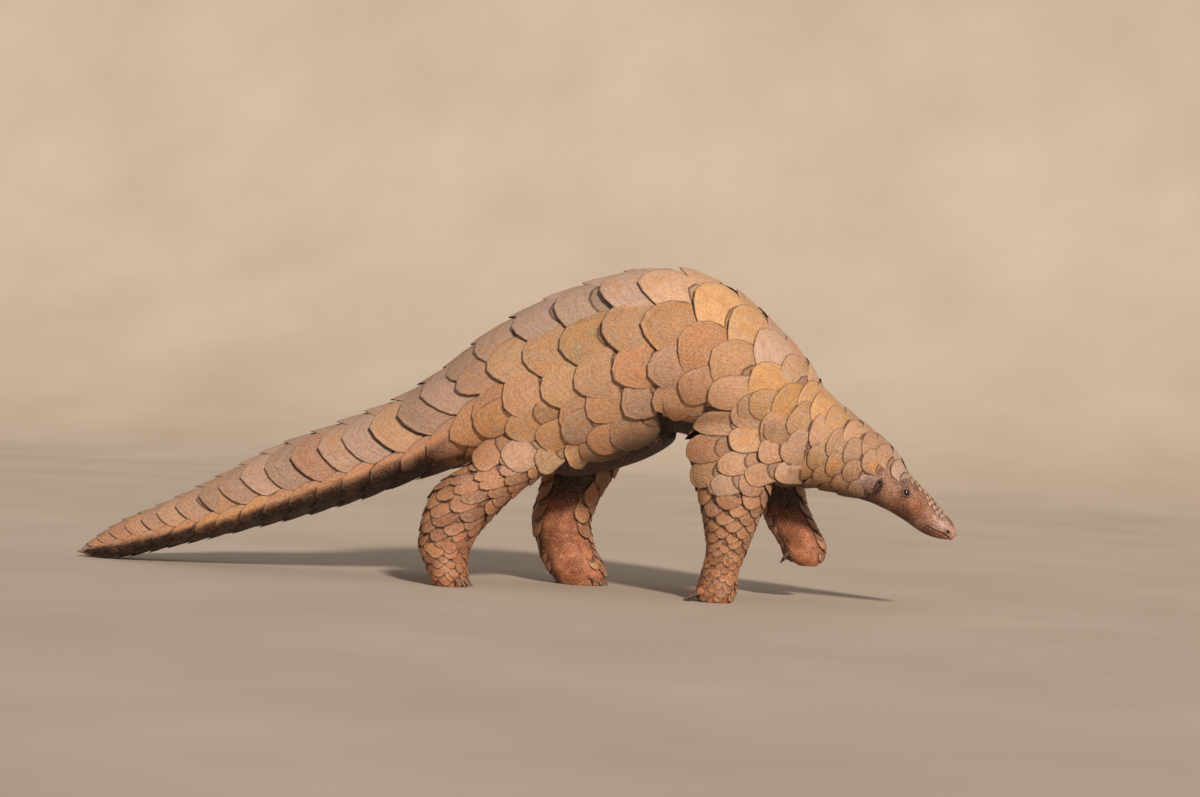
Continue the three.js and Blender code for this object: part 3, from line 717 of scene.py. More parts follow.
def horn_colour(points, on_leg):
    """Base colour of each scale, from its place and a draw of its own."""
    x, z = side_place(points)
    count = len(points)
    tone = np.tile(TAN, (count, 1))
    # Greyer on top of the tail and rump, a lilac that is partly its own colour and partly a painted sheen,
    # and pinkish on the back
    level = z - at(AXIS_HEIGHT, x)
    tail = smoothstep(-x, 60, 190)
    tone = blend(tone, LILAC_AND_SHEEN, 0.6 * tail)
    tone = blend(tone, BACK_PINK, 0.85 * smoothstep(level, 38, 78) * (1 - 0.6 * tail))
    tone = blend(tone, RUST, 0.35 * tail * (1 - smoothstep(level, 5, 40)))
    for stain_x, stain_z, radius, colour, strength in STAINS:
        near = np.exp(-(((x - stain_x) / radius) ** 2 + ((z - stain_z) / radius) ** 2))
        tone = blend(tone, colour, np.clip(near * strength * (0.6 + 0.5 * random.random(count)), 0, 1))
    draw = random.random(count)
    tone = blend(tone, RUST, np.where(draw < 0.10, 0.12 + 0.25 * random.random(count), 0))
    tone = blend(tone, OCHRE, np.where(draw > 0.94, 0.25, 0))
    tone = blend(tone, OLIVE, np.where((draw > 0.4) & (draw < 0.55), 0.3, 0))
    tone = blend(tone, LILAC_AND_SHEEN, np.where((draw > 0.6) & (draw < 0.78), 0.4, 0))
    if on_leg:
        tone = blend(tone, UMBER, 0.42 + 0.25 * smoothstep(-z, -110, -60))
        tone = blend(tone, RUST, 0.4 * smoothstep(-z, -70, -10))
    # Paler towards the nose: partly the horn's own colour, partly a painted highlight.
    tone = blend(tone, NOSE_PALE_AND_HIGHLIGHT, 0.75 * smoothstep(x, 284, 306))
    spread = 0.5 if on_leg else 0.32
    return tone * (1 - 0.52 * spread + spread * random.random(count))[:, None]


def under_tail(points, tones):
    """The lower edge of the tail is pale orange, a painted highlight, and its underside dark red, painted
    shade: the tones and a painted shade.
    """
    x, z = side_place(points)
    level = z - at(AXIS_HEIGHT, x)
    tail = smoothstep(-x, 125, 160)
    # The pale orange lower edge of the tail is a painted highlight.
    tones = blend(tones, TAIL_RIM_HIGHLIGHT, 0.6 * tail * (1 - smoothstep(level, 4, 12)))
    # Painted shade on the underside of the tail, in colour and in the shade number.
    tones = blend(tones, UNDER_TAIL_SHADE, tail * (1 - smoothstep(level, 0.5, 3)))
    return tones, 1 - 0.72 * tail * (1 - smoothstep(level, -0.5, 2.5))


def shade_below(points):
    """Under the trunk and the neck the scales are darker: painted shade."""
    x, z = side_place(points)
    return 1 - 0.7 * smoothstep((at(AXIS_HEIGHT, x) - z) / at(REACH_BELOW, x), 0.74, 0.94)


def paint(mesh, name, tones, shade=1.0):
    """Colours of a mesh's points, and in their fourth number a painted shade that darkens them."""
    colours = np.empty((len(mesh.vertices), 4))
    colours[:, :3] = tones.reshape(-1, 3)
    colours[:, 3] = np.ravel(shade)
    attribute = mesh.color_attributes.new(name, "FLOAT_COLOR", "POINT")
    attribute.data.foreach_set("color", colours.ravel())


# A scale: what it lies on, place and turn of its tip, half width, length that shows, slew,
# bluntness of its free edge, how much of the length that shows the edge takes, and lift.
Scale = namedtuple("Scale", "form place turn half shows slew blunt free lift")
# Half the side of a scale's patch on its OFBake map.
BAKE_HALF = 0.0015
# How strongly the columns of a scale's faces close up towards its sides.
CLOSING = 1.3
# No scale reaches closer to the floor than this.
LEAST_HEIGHT = 0.0003


def scale_template(columns, rows):
    """A flat scale, two skins thick: across -1 to 1 in x, tip -1 to root 1 in y; the top ones marked."""
    bm = bmesh.new()
    bmesh.ops.create_grid(bm, x_segments=columns, y_segments=rows, size=1)
    bmesh.ops.solidify(bm, geom=bm.faces[:], thickness=1.0)
    bmesh.ops.recalc_face_normals(bm, faces=bm.faces)
    mesh = mesh_from(bm, "scale")
    co = mesh_points(mesh)
    top = co[:, 2] > (co[:, 2].max() + co[:, 2].min()) / 2
    return mesh, np.clip(co[:, 0], -1, 1), np.clip(co[:, 1], -1, 1), top


def repeated(mesh, count, name):
    """The same shape many times in one mesh, made by an array."""
    source = placed(name, mesh)
    array = source.modifiers.new("copies", "ARRAY")
    array.count = count
    array.use_relative_offset = False
    array.use_constant_offset = True
    array.constant_offset_displace = (0, 0, 3)
    depsgraph = bpy.context.evaluated_depsgraph_get()
    joined = bpy.data.meshes.new_from_object(source.evaluated_get(depsgraph))
    bpy.data.objects.remove(source)
    joined.name = name
    return joined


def lay_scale(scale, x, s, top):
    """The points of one scale on its form, how far across it and behind its free edge they are, and
    their share of the way from its tip to its root."""
    length = scale.shows * LONGER
    edge = scale.free * scale.shows * (1 - (1 - np.abs(x) ** scale.blunt) ** 0.75)
    edge = edge + 0.015 * length * np.sin(3 * x + 40 * scale.place + 9 * scale.turn)
    behind = (length - edge) * s
    along = edge + behind
    share = along / length
    across = x * scale.half * (1 - 0.2 * share**2)
    # Thicker and further off its bed towards the tip, domed, with rounded rims and a sunken root
    thick = 0.0003 + 0.03 * scale.shows
    height = scale.shows * RISE_SHARE * scale.lift * (1 - share)
    height += 0.06 * scale.half * (1 - x**2) * (1 - share**2)
    rounding = np.maximum(np.abs(x) ** 14, (1 - s) ** 14)
    height -= 0.3 * thick * rounding + 0.001 * smoothstep(share, 0.75, 1.0)
    height = np.where(top, height, height - thick * (1 - 0.6 * rounding))
    rootward = along * math.cos(scale.slew) - across * math.sin(scale.slew)
    sideways = along * math.sin(scale.slew) + across * math.cos(scale.slew)
    form = scale.form
    k = scale.place + form.rootward * rootward / form.per_place(scale.place, scale.turn)
    turn = form.turned(scale.place, scale.turn, sideways)
    bed = form.bed(k)
    points = form.surface(k, turn, bed) + form.normal(k, turn, bed) * height[:, None]
    return points, across, behind, share


def bake_place(scale):
    """The middle of a scale's patch on an unwrap of the skin: a strip for the body, then the legs."""
    form = scale.form
    strips = [body, *legs.values()]
    strip = strips.index(form) if form in strips else 0
    if isinstance(form, Sheet):
        x = scale.place * form.PLACE_LENGTH
        along = np.interp(x, body.rows[:, 0], np.arange(len(SPINE))) / body.last
        v = 0.5 + form.side * (0.5 - abs(scale.turn))
    else:
        along = min(max(scale.place / form.last, 0), 1)
        v = (scale.turn / (2 * math.pi) + 0.5) % 1
    return (strip + 0.02 + along * 0.94) / len(strips), v


def add_map(mesh, name, places):
    """A UV map that gives each point its place."""
    corner = np.empty(len(mesh.loops), int)
    mesh.loops.foreach_get("vertex_index", corner)
    mesh.uv_layers.new(name=name).data.foreach_set("uv", places.reshape(-1, 2)[corner].ravel())


def face_outward(mesh):
    bm = bmesh.new()
    bm.from_mesh(mesh)
    bmesh.ops.recalc_face_normals(bm, faces=bm.faces)
    bm.to_mesh(mesh)
    bm.free()


def make_scales(name, scales, columns, rows, material, on_leg=False):
    """One piece of scales, each with a few faces across and from tip to root."""
    mesh, x, y, top = scale_template(columns, rows)
    count, n = len(scales), len(x)
    joined = repeated(mesh, count, name)
    # Columns and rows lie closer together near the edges
    x = np.sin(x * CLOSING) / math.sin(CLOSING)
    s = 1 - np.cos((y + 1) / 2 * math.pi / 2)
    laid = [lay_scale(scale, x, s, top) for scale in scales]
    points, across, behind, share = (np.array(values) for values in zip(*laid))
    half, shows = (np.array([[getattr(scale, size)] for scale in scales]) for size in ("half", "shows"))
    u, v = np.array([bake_place(scale) for scale in scales]).T[:, :, None]
    bake = np.stack([u + BAKE_HALF * x, v + BAKE_HALF * (share * 2 - 1)], -1)
    # Each scale has its own stretch of the pattern of grooves
    order = np.arange(count)[:, None]
    lie = np.stack([across + 0.37 * order, behind + 0.61 * order], -1)
    seats = points[:, np.argmax(top * (1 - np.abs(x)) * (1 - s))].copy()
    points[..., 2] = np.maximum(points[..., 2], LEAST_HEIGHT)
    joined.vertices.foreach_set("co", points.ravel())
    add_map(joined, "OFBake", bake)
    add_map(joined, "lie", lie)
    tones, shade = np.repeat(horn_colour(seats, on_leg)[:, None], n, axis=1), 1.0
    if name == "scales_tail":
        tones, shade = under_tail(points, tones)
    elif name in ("scales_trunk", "scales_neck"):
        shade = shade_below(points)
    paint(joined, "horn", tones, shade)
    numbers = {
        "rim": np.minimum(behind, (1 - np.abs(x)) * half),
        "under": np.tile(1.0 - top, count),
        "stain": np.repeat(random.random(count) ** 1.5, n),
        "covered": (behind - shows) / MM,
    }
    for kind, values in numbers.items():
        joined.attributes.new(kind, "FLOAT", "POINT").data.foreach_set("value", values.ravel())
    joined.materials.clear()
    joined.materials.append(material)
    joined.update()
    face_outward(joined)
    joined.shade_smooth()
    joined.set_sharp_from_angle(angle=math.radians(50))
    piece = placed(name, joined)
    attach(piece, "root")


def vary(amount):
    return 1 + amount * float(random.uniform(-1, 1))


def rings_of_body():
    """Places along the body, and the rings of scales counted up to each of them."""
    k = np.linspace(0, body.last, 4001)
    per = body.per_place(k, math.radians(60)) / body.pitch(k)
    rings = np.concatenate([[0], np.cumsum(per[:-1] * np.diff(k))])
    return k, rings - np.interp(RING_AT, k, rings)


def gap_and_phase(row, k):
    """Mean distance in turn to the rows beside a row, and how far they are out of step with it."""
    margin = 0.3
    active = [other for other in ROWS if other.start - margin <= k <= other.stop + margin]
    active.sort(key=lambda other: at(other.turns, k))
    place = active.index(row)
    beside = active[max(place - 1, 0) : place] + active[place + 1 : place + 2]
    turn, lag = at(row.turns, k), at(row.lags, k)
    gaps = [abs(at(other.turns, k) - turn) for other in beside]
    phases = [abs((at(other.lags, k) - lag + 0.5) % 1 - 0.5) for other in beside]
    return math.radians(sum(gaps) / len(gaps)), sum(phases) / len(phases)


def leg_in_the_way(k, turn, side):
    """Whether a leg takes the place of a scale of the body."""
    spans = ((least, first, last, more if side > 0 else 0) for least, first, last, more in LEG_ROOM)
    return any(turn > least and first + more < k < last + more for least, first, last, more in spans)


def body_scales():
    """Scales of the tail, the trunk, the neck and the crown, row by row."""
    scales = []
    places, rings = rings_of_body()
    for row in ROWS:
        counted = rings - at(row.lags, places)
        first, last = np.interp((row.start, row.stop), places, counted)
        for ring in range(math.ceil(first), math.floor(last) + 1):
            k = float(np.interp(ring, counted, places))
            turn = float(at(row.turns, k))
            if k > min(COVER) and turn > at(COVER, k):
                continue
            gap, phase = gap_and_phase(row, k)
            left, right = body.surface(k, math.radians(turn) + np.array([-gap, gap]) / 2, body.bed(k))
            width = float(np.linalg.norm(left - right)) * (0.68 + 0.34 * phase)
            on_tail = 1 - float(smoothstep(k, 7.2, 8.6))
            on_neck = float(smoothstep(k, 12.2, 13.2))
            width *= 1 - 0.12 * on_tail - 0.03 * on_neck
            rise = row.rise + 0.25 * on_neck + (0.2 * on_tail if turn == 0 else 0)
            if turn > 120 and k < TRUNK_FROM:
                rise = 0.7
            for side in (-1, 1) if 0 < turn < 180 else (1,):
                if leg_in_the_way(k, turn, side):
                    continue
                higher = 8 if side > 0 and turn > 120 and 9 < k < 11.5 else 0
                down = at(TIPS_DOWN, k) * float(smoothstep(turn, 60, 115))
                shows = float(body.pitch(k)) * vary(0.03)
                scales.append(
                    Scale(
                        form=body,
                        place=k + 0.03 * random.uniform(-1, 1),
                        turn=math.radians(turn - higher + 0.8 * random.uniform(-1, 1)) * side,
                        half=width * vary(0.03),
                        shows=shows,
                        slew=-math.radians(down + 3 * random.uniform(-1, 1)) * side,
                        blunt=(1.7 - 0.4 * on_tail + 0.9 * on_neck) * vary(0.06),
                        free=0.76 + 0.19 * on_tail - 0.22 * on_neck,
                        lift=rise * vary(0.06) * float(smoothstep(k, 0.0, 2.2)),
                    )
                )
    return scales


def crown_scales():
    """Small flat scales on the forehead and the bridge of the nose, in courses from side to side."""
    scales = []
    width, shows, course_gap, half = 0.0072, 0.0062, 0.0058, 0.0038
    k, course = 15.62, 0
    while k < 18.25:
        across = math.degrees(width / float(spline(body.rows, k)[5]))
        for step in range(-8, 9):
            turn = (step + (course % 2) / 2) * across
            if abs(turn) < at(COVER, k):
                own_shows = shows * vary(0.12)
                slew = math.radians(8) * random.uniform(-1, 1)
                turn = math.radians(turn + random.uniform(-1, 1))
                scales.append(Scale(body, k, turn, half, own_shows, slew, 2.2, 0.7, 0.8))
        k += course_gap / float(body.per_place(k, 0.0))
        course += 1
    return scales


def sheet_scales(name, table):
    """Scales over a shoulder or a thigh, where the trunk runs on into the leg."""
    sheet = Sheet(name)
    # The table is the right side's: the left one's scales follow its leg, and the thigh's only partly
    further = (legs[name].rows[1, 0] - legs[name.replace("left", "right")].rows[1, 0]) / sheet.PLACE_LENGTH
    if name.startswith("hind"):
        further *= 0.6
    scales = []
    for x, z, shows, half, down in table:
        # The left thigh is too far ahead for the foremost ones
        if name == "hindleg_left" and x > -30 and z < 150:
            continue
        k = (x * MM + SHIFT[0]) / sheet.PLACE_LENGTH + further
        slew = -sheet.side * math.radians(down + 4 * random.uniform(-1, 1))
        size = MM * vary(0.04)
        lift = 0.8 * vary(0.1)
        scales.append(Scale(sheet, k, -sheet.side * z * MM, half * size, shows * size, slew, 2.7, 0.5, lift))
    return scales


def inside_body(point):
    """How deep a point lies inside the body's section: 1 on the outline, less inside."""
    k = np.linspace(7, 15, 321)
    rows = spline(body.rows, k)
    nearest = int(np.abs(((point - rows[:, :3]) * body.ahead(k)).sum(axis=1)).argmin())
    s, out = rows[nearest], body.out(k[nearest])
    up = float((point - s[:3]) @ out)
    return math.hypot(up / (s[3] if up > 0 else s[4]), float(point[1]) / s[5])


def leg_scales(name):
    """Scales in lines round a leg, each line half a scale out of step with the last."""
    scales = []
    form = legs[name]
    kind, side_name = name.split("_")
    side = SIDES[side_name]
    k, bottom = LEG_SPAN[name]
    line = 0
    while k < bottom:
        shows = float(form.pitch(k))
        gap = 0.88 * shows
        z = float(spline(form.rows, k)[2]) / MM
        # Where the tips turn backward, the lines close up and hold more scales
        back = math.radians(float(at(TIPS_BACK[kind], z)))
        lean = math.sin(0.8 * back) ** 2
        height = shows / 2 * (1 - lean) + gap * lean
        count = max(round(form.round_about(k) / (2 * gap * (1 - lean) + shows * lean)), 3)
        step = form.round_about(k) / count
        rough = 1 - float(smoothstep(z, 45, 75))
        for i in range(count):
            distance = (i - count / 2 + (line % 2) / 2 + 0.06 * random.uniform(-1, 1)) * step
            turn = float(form.turned(k, 0.0, distance))
            turn = (turn + math.pi) % (2 * math.pi) - math.pi
            outward = math.degrees(turn) * side
            # None inside the body, on the inner side, or under the sheet over the leg
            if inside_body(form.surface(k, turn, 0.0)) < 0.9 or -145 < outward < -35:
                continue
            if z > SHEET_ENDS[kind] and abs(outward - 90) < 70:
                continue
            slew = -back * math.sin(turn) + math.radians(5 + 9 * rough) * random.uniform(-1, 1)
            size = vary(0.06 + 0.15 * rough)
            lift = vary(0.1 + 0.25 * rough) * (1 - 0.2 * rough)
            blunt = 2.0 * vary(0.12)
            scales.append(Scale(form, k, turn, 0.85 * gap * size, shows * size, slew, blunt, 0.65, lift))
        k += height / float(form.per_place(k, math.pi / 2))
        line += 1
    return scales


def skin_depth(form, k, turn):
    """Skin lies under the bed of the scales, and at the outline where it is bare."""
    if form.is_leg:
        return form.bed(k) + 0.0004
    side = np.abs(np.where(turn > math.pi, turn - 2 * math.pi, turn))
    face = smoothstep(k, 14.7, 15.3) * smoothstep(np.degrees(side) - at(COVER, k), -4, 12)
    face = np.maximum(face, smoothstep(k, 15.4, 16.2) * 0.6)
    face = np.maximum(face, smoothstep(k, 18.0, 18.6))
    belly = smoothstep(side, math.radians(150), math.radians(168)) * smoothstep(k, 7.9, 9)
    bare = np.maximum(face, belly)
    return (form.bed(k) + 0.0006) * (1 - bare) + 0.0008 * bare


def wrapped_grid(name, form, places, sides):
    """A grid rolled round a form into a closed skin, with capped ends."""
    bm = bmesh.new()
    bmesh.ops.create_grid(bm, x_segments=sides, y_segments=len(places) - 1, size=1)
    co = np.array([v.co for v in bm.verts])
    turn = (co[:, 0] + 1) * math.pi
    k = places[np.rint((co[:, 1] + 1) / 2 * (len(places) - 1)).astype(int)]
    for vertex, point in zip(bm.verts, form.surface(k, turn, skin_depth(form, k, turn))):
        vertex.co = point
    bmesh.ops.remove_doubles(bm, verts=bm.verts, dist=1e-6)
    bmesh.ops.holes_fill(bm, edges=[e for e in bm.edges if e.is_boundary], sides=0)
    bmesh.ops.recalc_face_normals(bm, faces=bm.faces)
    return placed(name, mesh_from(bm, name))


def union(target, others):
    """The target joined with other closed pieces."""
    for other in others:
        cut = target.modifiers.new("join", "BOOLEAN")
        cut.operation = "UNION"
        cut.solver = "MANIFOLD"
        cut.object = other
    depsgraph = bpy.context.evaluated_depsgraph_get()
    joined = bpy.data.meshes.new_from_object(target.evaluated_get(depsgraph))
    target.modifiers.clear()
    target.data = joined
    for other in others:
        bpy.data.objects.remove(other)


def rounded_blob(name, centre, radii, way, segments):
    bm = bmesh.new()
    bmesh.ops.create_uvsphere(bm, u_segments=segments, v_segments=segments // 2 + 2, radius=1)
    bmesh.ops.scale(bm, vec=radii, verts=bm.verts)
    turn = Vector((0, 0, 1)).rotation_difference(Vector(way)).to_matrix()
    bmesh.ops.rotate(bm, cent=(0, 0, 0), matrix=turn, verts=bm.verts)
    bmesh.ops.translate(bm, vec=centre, verts=bm.verts)
    return placed(name, mesh_from(bm, name))


def claw_line(foot, index):
    """Points along a claw, from its root to its tip, and its thickness."""
    root, spread, fan, way, curl, long, thick = CLAWS[foot]
    side = 2 * index / (CLAWS_A_FOOT - 1) - 1
    size = 1 - 0.35 * side * side
    heading = Matrix.Rotation(math.radians(fan) * side * math.copysign(1, way[0]), 3, "Z") @ Vector(way)
    start = Vector(root) + Vector((0, side * spread, 0))
    points = [
        (start + heading * long * size * t + Vector(curl) * long * size * t * t) * MM + Vector(SHIFT)
        for t in np.linspace(0, 1, 9)
    ]
    return points, thick * size * MM


def toe(foot, index):
    """The end of a toe round the root of its claw."""
    points, thick = claw_line(foot, index)
    way = (points[2] - points[0]).normalized()
    middle = points[0] + way * thick * 0.2 + Vector((0, 0, thick * 0.35))
    return rounded_blob("toe", middle, (thick * 1.45, thick * 1.35, thick * 1.9), way, 14)


# The skin's faces: rings along the trunk and tail, the head and a leg, and sides of the body and a leg.
TRUNK_RINGS, HEAD_RINGS, LEG_RINGS = 170, 118, 60
BODY_SIDES, LEG_SIDES = 132, 48
HEAD_FROM = 14.8

# An eye or a nostril on the skin, and the way out of the skin there.
Mark = namedtuple("Mark", "kind side_name centre way")
# The folds round an eye and a nostril, in millimetres: how much closer the rings are along and across
# the head, how far they reach, depth of the opening, start and end of its wall, and ridges.
FOLDS = {
    "eye": (1 / 1.15, 1.15, 12, 5.0, 1.9, 2.9, [(1.3, 4.0, 1.3), (0.5, 6.9, 0.7), (-0.5, 5.7, 0.5)]),
    "nostril": (1.1, 1 / 1.25, 6, 2.6, 0.6, 1.5, [(0.5, 2.0, 0.7)]),
}
# The groove between the lips, and the lips beside it.
LIPS = [(1.2, 0, 0.55), (-0.55, 1.7, 0.9)]
# How far from its middle the skin round an eye, a nostril and the mouth has finer faces.
FINER = {"eye": 0.011, "nostril": 0.005, "mouth": 0.0036}


def face_marks():
    """Eyes and nostrils, those of the right side first."""
    return [
        Mark(kind, side_name, *seated(body, spot, side))
        for side_name, side in SIDES.items()
        for kind, spot in (("eye", EYE), ("nostril", NOSTRIL))
    ]


def mouth_line():
    """Points along the mouth, from its right corner round the tip of the snout to the left one."""
    half = [(k, math.radians(turn)) for k, turn in MOUTH]
    line = np.array(half + [(k, 2 * math.pi - turn) for k, turn in reversed(half[:-1])])
    places, turns = spline(line, np.linspace(0, len(line) - 1, 161)).T
    return body.raised(places, turns, 0.0008, 0.0)


def distance_to_line(points, line):
    return np.linalg.norm(points[:, None, :] - line[None, :, :], axis=-1).min(axis=1)


def make_skin(material, marks, mouth):
    """One closed skin of body, legs and toes, with finer faces where the face has its forms."""
    places = [np.linspace(0, HEAD_FROM, TRUNK_RINGS), np.linspace(HEAD_FROM, body.last, HEAD_RINGS)]
    skin = wrapped_grid("skin", body, np.unique(np.concatenate(places)), BODY_SIDES)
    others = []
    for name, form in legs.items():
        others.append(wrapped_grid(name, form, np.linspace(0, form.last, LEG_RINGS), LEG_SIDES))
    others += [toe(foot, index) for foot in CLAWS for index in range(CLAWS_A_FOOT)]
    union(skin, others)
    mesh = skin.data
    bm = bmesh.new()
    bm.from_mesh(mesh)
    bmesh.ops.dissolve_degenerate(bm, dist=1e-6, edges=bm.edges)
    centres = np.array([f.calc_center_median() for f in bm.faces])
    near = distance_to_line(centres, mouth) < FINER["mouth"]
    for mark in marks:
        near |= np.linalg.norm(centres - mark.centre, axis=1) < FINER[mark.kind]
    bm.faces.ensure_lookup_table()
    edges = {e for i in np.flatnonzero(near) for e in bm.faces[i].edges}
    bmesh.ops.subdivide_edges(bm, edges=list(edges), cuts=2, use_grid_fill=True)
    bmesh.ops.triangulate(bm, faces=[f for f in bm.faces if len(f.verts) > 4])
    bm.to_mesh(mesh)
    bm.free()
    points = mesh_points(mesh)
    shape_face(points, marks, mouth)
    points[:, 2] = np.maximum(points[:, 2], 0.0)
    mesh.vertices.foreach_set("co", points.ravel())
    paint_skin(mesh, marks, mouth)
    mesh.materials.clear()
    mesh.materials.append(material)
    mesh.shade_smooth()
    return skin


def shape_face(points, marks, mouth):
    """Lids, sockets, nostrils and lips raised on the skin, and the line of the mouth pressed into it."""
    head = np.flatnonzero(points[:, 0] - SHIFT[0] > 0.27)
    p = points[head]
    ahead = body.ahead(EYE.place)
    for mark in marks:
        closer_along, closer_across, reach, deep, wall_start, wall_end, sizes = FOLDS[mark.kind]
        offset = p - mark.centre
        height = offset @ mark.way
        flat = offset - height[:, None] * mark.way
        along = flat @ ahead
        across = np.linalg.norm(flat - along[:, None] * ahead, axis=1)
        r = np.hypot(along * closer_along, across * closer_across) / MM
        near = (height > -0.004) & (r < reach)
        lift = ridges(r, sizes) - deep * (1 - smoothstep(r, wall_start, wall_end))
        p[near] += mark.way * (lift[near] * MM)[:, None]
    gap = distance_to_line(p, mouth) / MM
    middle = spline(body.rows, 19.0)[:3]
    inward = unit(np.where(gap[:, None] < 5, middle - p, np.array([0, 0, 1.0])))
    points[head] = p + inward * (ridges(gap, LIPS) * MM)[:, None]


def paint_skin(mesh, marks, mouth):
    """Dark under the scales and below, as painted shade (the belly partly its own dark colour), dusty on the
    feet, and the tones of the face, some of them painted shade and highlight.
    """
    points = mesh_points(mesh)
    x, z = side_place(points)
    tone = np.tile(UNDER_SCALES_SHADE, (len(points), 1))
    axis = spline(body.rows, np.linspace(7.5, body.last, 200))[:, :3]
    nearest = np.abs(axis[:, 0] - points[:, :1]).argmin(axis=1)
    below = (axis[nearest, 2] - points[:, 2]) / MM
    tone = blend(tone, TAIL_END, 1 - smoothstep(x, -528, -505))
    # The belly's own dark skin, darkened further as painted shade under the body.
    tone = blend(tone, DARK_BELLY_AND_SHADE, smoothstep(below, 20, 55) * smoothstep(x, -140, -90))
    dusty = smoothstep(-z, -100, -70) * (1 - smoothstep(x, 225, 235)) * smoothstep(x, -185, -175)
    tone = blend(tone, DUST, dusty)
    # Painted shade on the rear edge of the left legs.
    for name in ("foreleg_left", "hindleg_left"):
        leg = (legs[name].rows[::-1] - np.array([*SHIFT, 0, 0, 0, 0])) / MM
        x0, behind = np.interp(z, leg[:, 2], leg[:, 0]), np.interp(z, leg[:, 2], leg[:, 4])
        rear = 1 - smoothstep((x - x0) / behind, -0.85, -0.35)
        own = smoothstep(points[:, 1], 0.02, 0.03) * (np.abs(x - x0) < 60) * smoothstep(-z, -118, -100)
        tone = blend(tone, LEG_BACK_SHADE, 0.85 * rear * own)
    tone = blend(tone, FACE_BROWN, smoothstep(x, 255, 275))
    for side in SIDES.values():
        for k, turn, radius, colour, strength in FACE_TONES:
            centre = body.surface(k, math.radians(turn) * side, 0.0008)
            r = np.linalg.norm(points - centre, axis=1) / MM / radius
            tone = blend(tone, colour, strength * (1 - smoothstep(r, 0.25, 1.15)))
    # Dark skin round the eyes, and painted shade in the nostrils.
    for mark in marks:
        colour, strength, full, gone = DARK_SKIN_AND_SHADE[mark.kind]
        r = np.linalg.norm(points - mark.centre, axis=1) / MM
        tone = blend(tone, colour, strength * (1 - smoothstep(r, full, gone)))
    # Painted shade along the crease of the mouth.
    head = np.flatnonzero(x > 270)
    gap = distance_to_line(points[head], mouth) / MM
    tone[head] = blend(tone[head], MOUTH_CREASE_SHADE, 0.8 * (1 - smoothstep(gap, 0.4, 1.4)))
    paint(mesh, "hide", tone)


def ring_edges(ring):
    """The edges between the vertices of one ring."""
    return {e for v in ring for e in v.link_edges if e.other_vert(v) in ring}


def add_claw(bm, foot, index):
    """A curved claw of bridged rings, flat below and ridged above."""
    points, thick = claw_line(foot, index)
    rings = []
    for step, point in enumerate(points):
        t = step / (len(points) - 1)
        ahead = (points[min(step + 1, len(points) - 1)] - points[max(step - 1, 0)]).normalized()
        across = Vector((0, 0, 1)).cross(ahead).normalized()
        up = ahead.cross(across)
        radius = thick * (1 - 0.86 * t**1.5) + 0.0002
        ring = bmesh.ops.create_circle(bm, segments=12, radius=1)["verts"]
        turn = Matrix((across * radius * 0.75, up * radius, ahead)).transposed()
        for vertex in ring:
            flat_below = 0.72 if vertex.co.y < 0 else 1.0
            vertex.co = turn @ Vector((vertex.co.x, vertex.co.y * flat_below, 0)) + point
        rings.append(ring)
    for first, second in zip(rings, rings[1:]):
        bmesh.ops.bridge_loops(bm, edges=list(ring_edges(first) | ring_edges(second)))
    for ring in (rings[0], rings[-1]):
        bmesh.ops.edgeloop_fill(bm, edges=list(ring_edges(ring)))


def make_claws(material):
    for foot in CLAWS:
        bm = bmesh.new()
        for index in range(CLAWS_A_FOOT):
            add_claw(bm, foot, index)
        bmesh.ops.recalc_face_normals(bm, faces=bm.faces)
        for vertex in bm.verts:
            vertex.co.z = max(vertex.co.z, 0.0)
        name = "claws_" + foot
        piece = placed(name, mesh_from(bm, name))
        piece.data.shade_smooth()
        piece.data.materials.append(material)
        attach(piece, "root")
        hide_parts(*[f"claw_{foot}_{i + 1}" for i in range(CLAWS_A_FOOT)])


def make_eyes(material, marks):
    for _, name, centre, way in (mark for mark in marks if mark.kind == "eye"):
        piece = rounded_blob("eyeball_" + name, Vector(centre), (EYE_RADIUS * MM,) * 3, way, 32)
        piece.data.materials.append(material)
        piece.data.shade_smooth()
        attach(piece, "root")
        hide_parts("eye_" + name)


def make_ears(material):
    """Each ear is a cushion, fuller behind, with a deep crescent slot towards its front, darkened with
    painted shade.
    """
    for name, side in SIDES.items():
        root, out = seated(body, EAR, side)
        ahead = body.ahead(EAR.place)
        ahead = unit(ahead - out * (ahead @ out))
        down = np.cross(ahead, out)
        bm = bmesh.new()
        bmesh.ops.create_uvsphere(bm, u_segments=40, v_segments=24, radius=1)
        a, b, c = np.array([vertex.co for vertex in bm.verts]).T
        slot = ridges(a + 0.25 * b * b, [(1, 0.3, 0.3)]) * (1 - smoothstep(np.abs(b), 0.6, 0.95))
        height = c * (1 + 0.25 * smoothstep(-a, 0, 1)) * (1 - 0.8 * slot * (c > 0)) * EAR_THICK
        along = a * np.where(a > 0, EAR_AHEAD, EAR_BEHIND)
        points = root + (np.stack([along, b * (EAR_HALF + a), height], -1) * MM) @ [ahead, down, out]
        for vertex, point in zip(bm.verts, points):
            vertex.co = point
        bmesh.ops.recalc_face_normals(bm, faces=bm.faces)
        mesh = mesh_from(bm, "ear_cup_" + name)
        # Painted shade in the slot.
        dark = smoothstep(a, -0.12, 0.12) * (1 - smoothstep(a, 0.85, 1.0))
        paint(mesh, "hide", blend(np.tile(EAR_PAD, (len(a), 1)), EAR_SLOT_SHADE, np.clip(dark * 1.3, 0, 1)))
        mesh.shade_smooth()
        mesh.materials.append(material)
        piece = placed("ear_cup_" + name, mesh)
        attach(piece, "root")
        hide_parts("ear_" + name)


# The floor is flat as far as 3 m behind the animal, then it turns up into a wall.
FLOOR_REACH = 8
FLOOR_FLAT = 3.0
FLOOR_BEND = 1.5


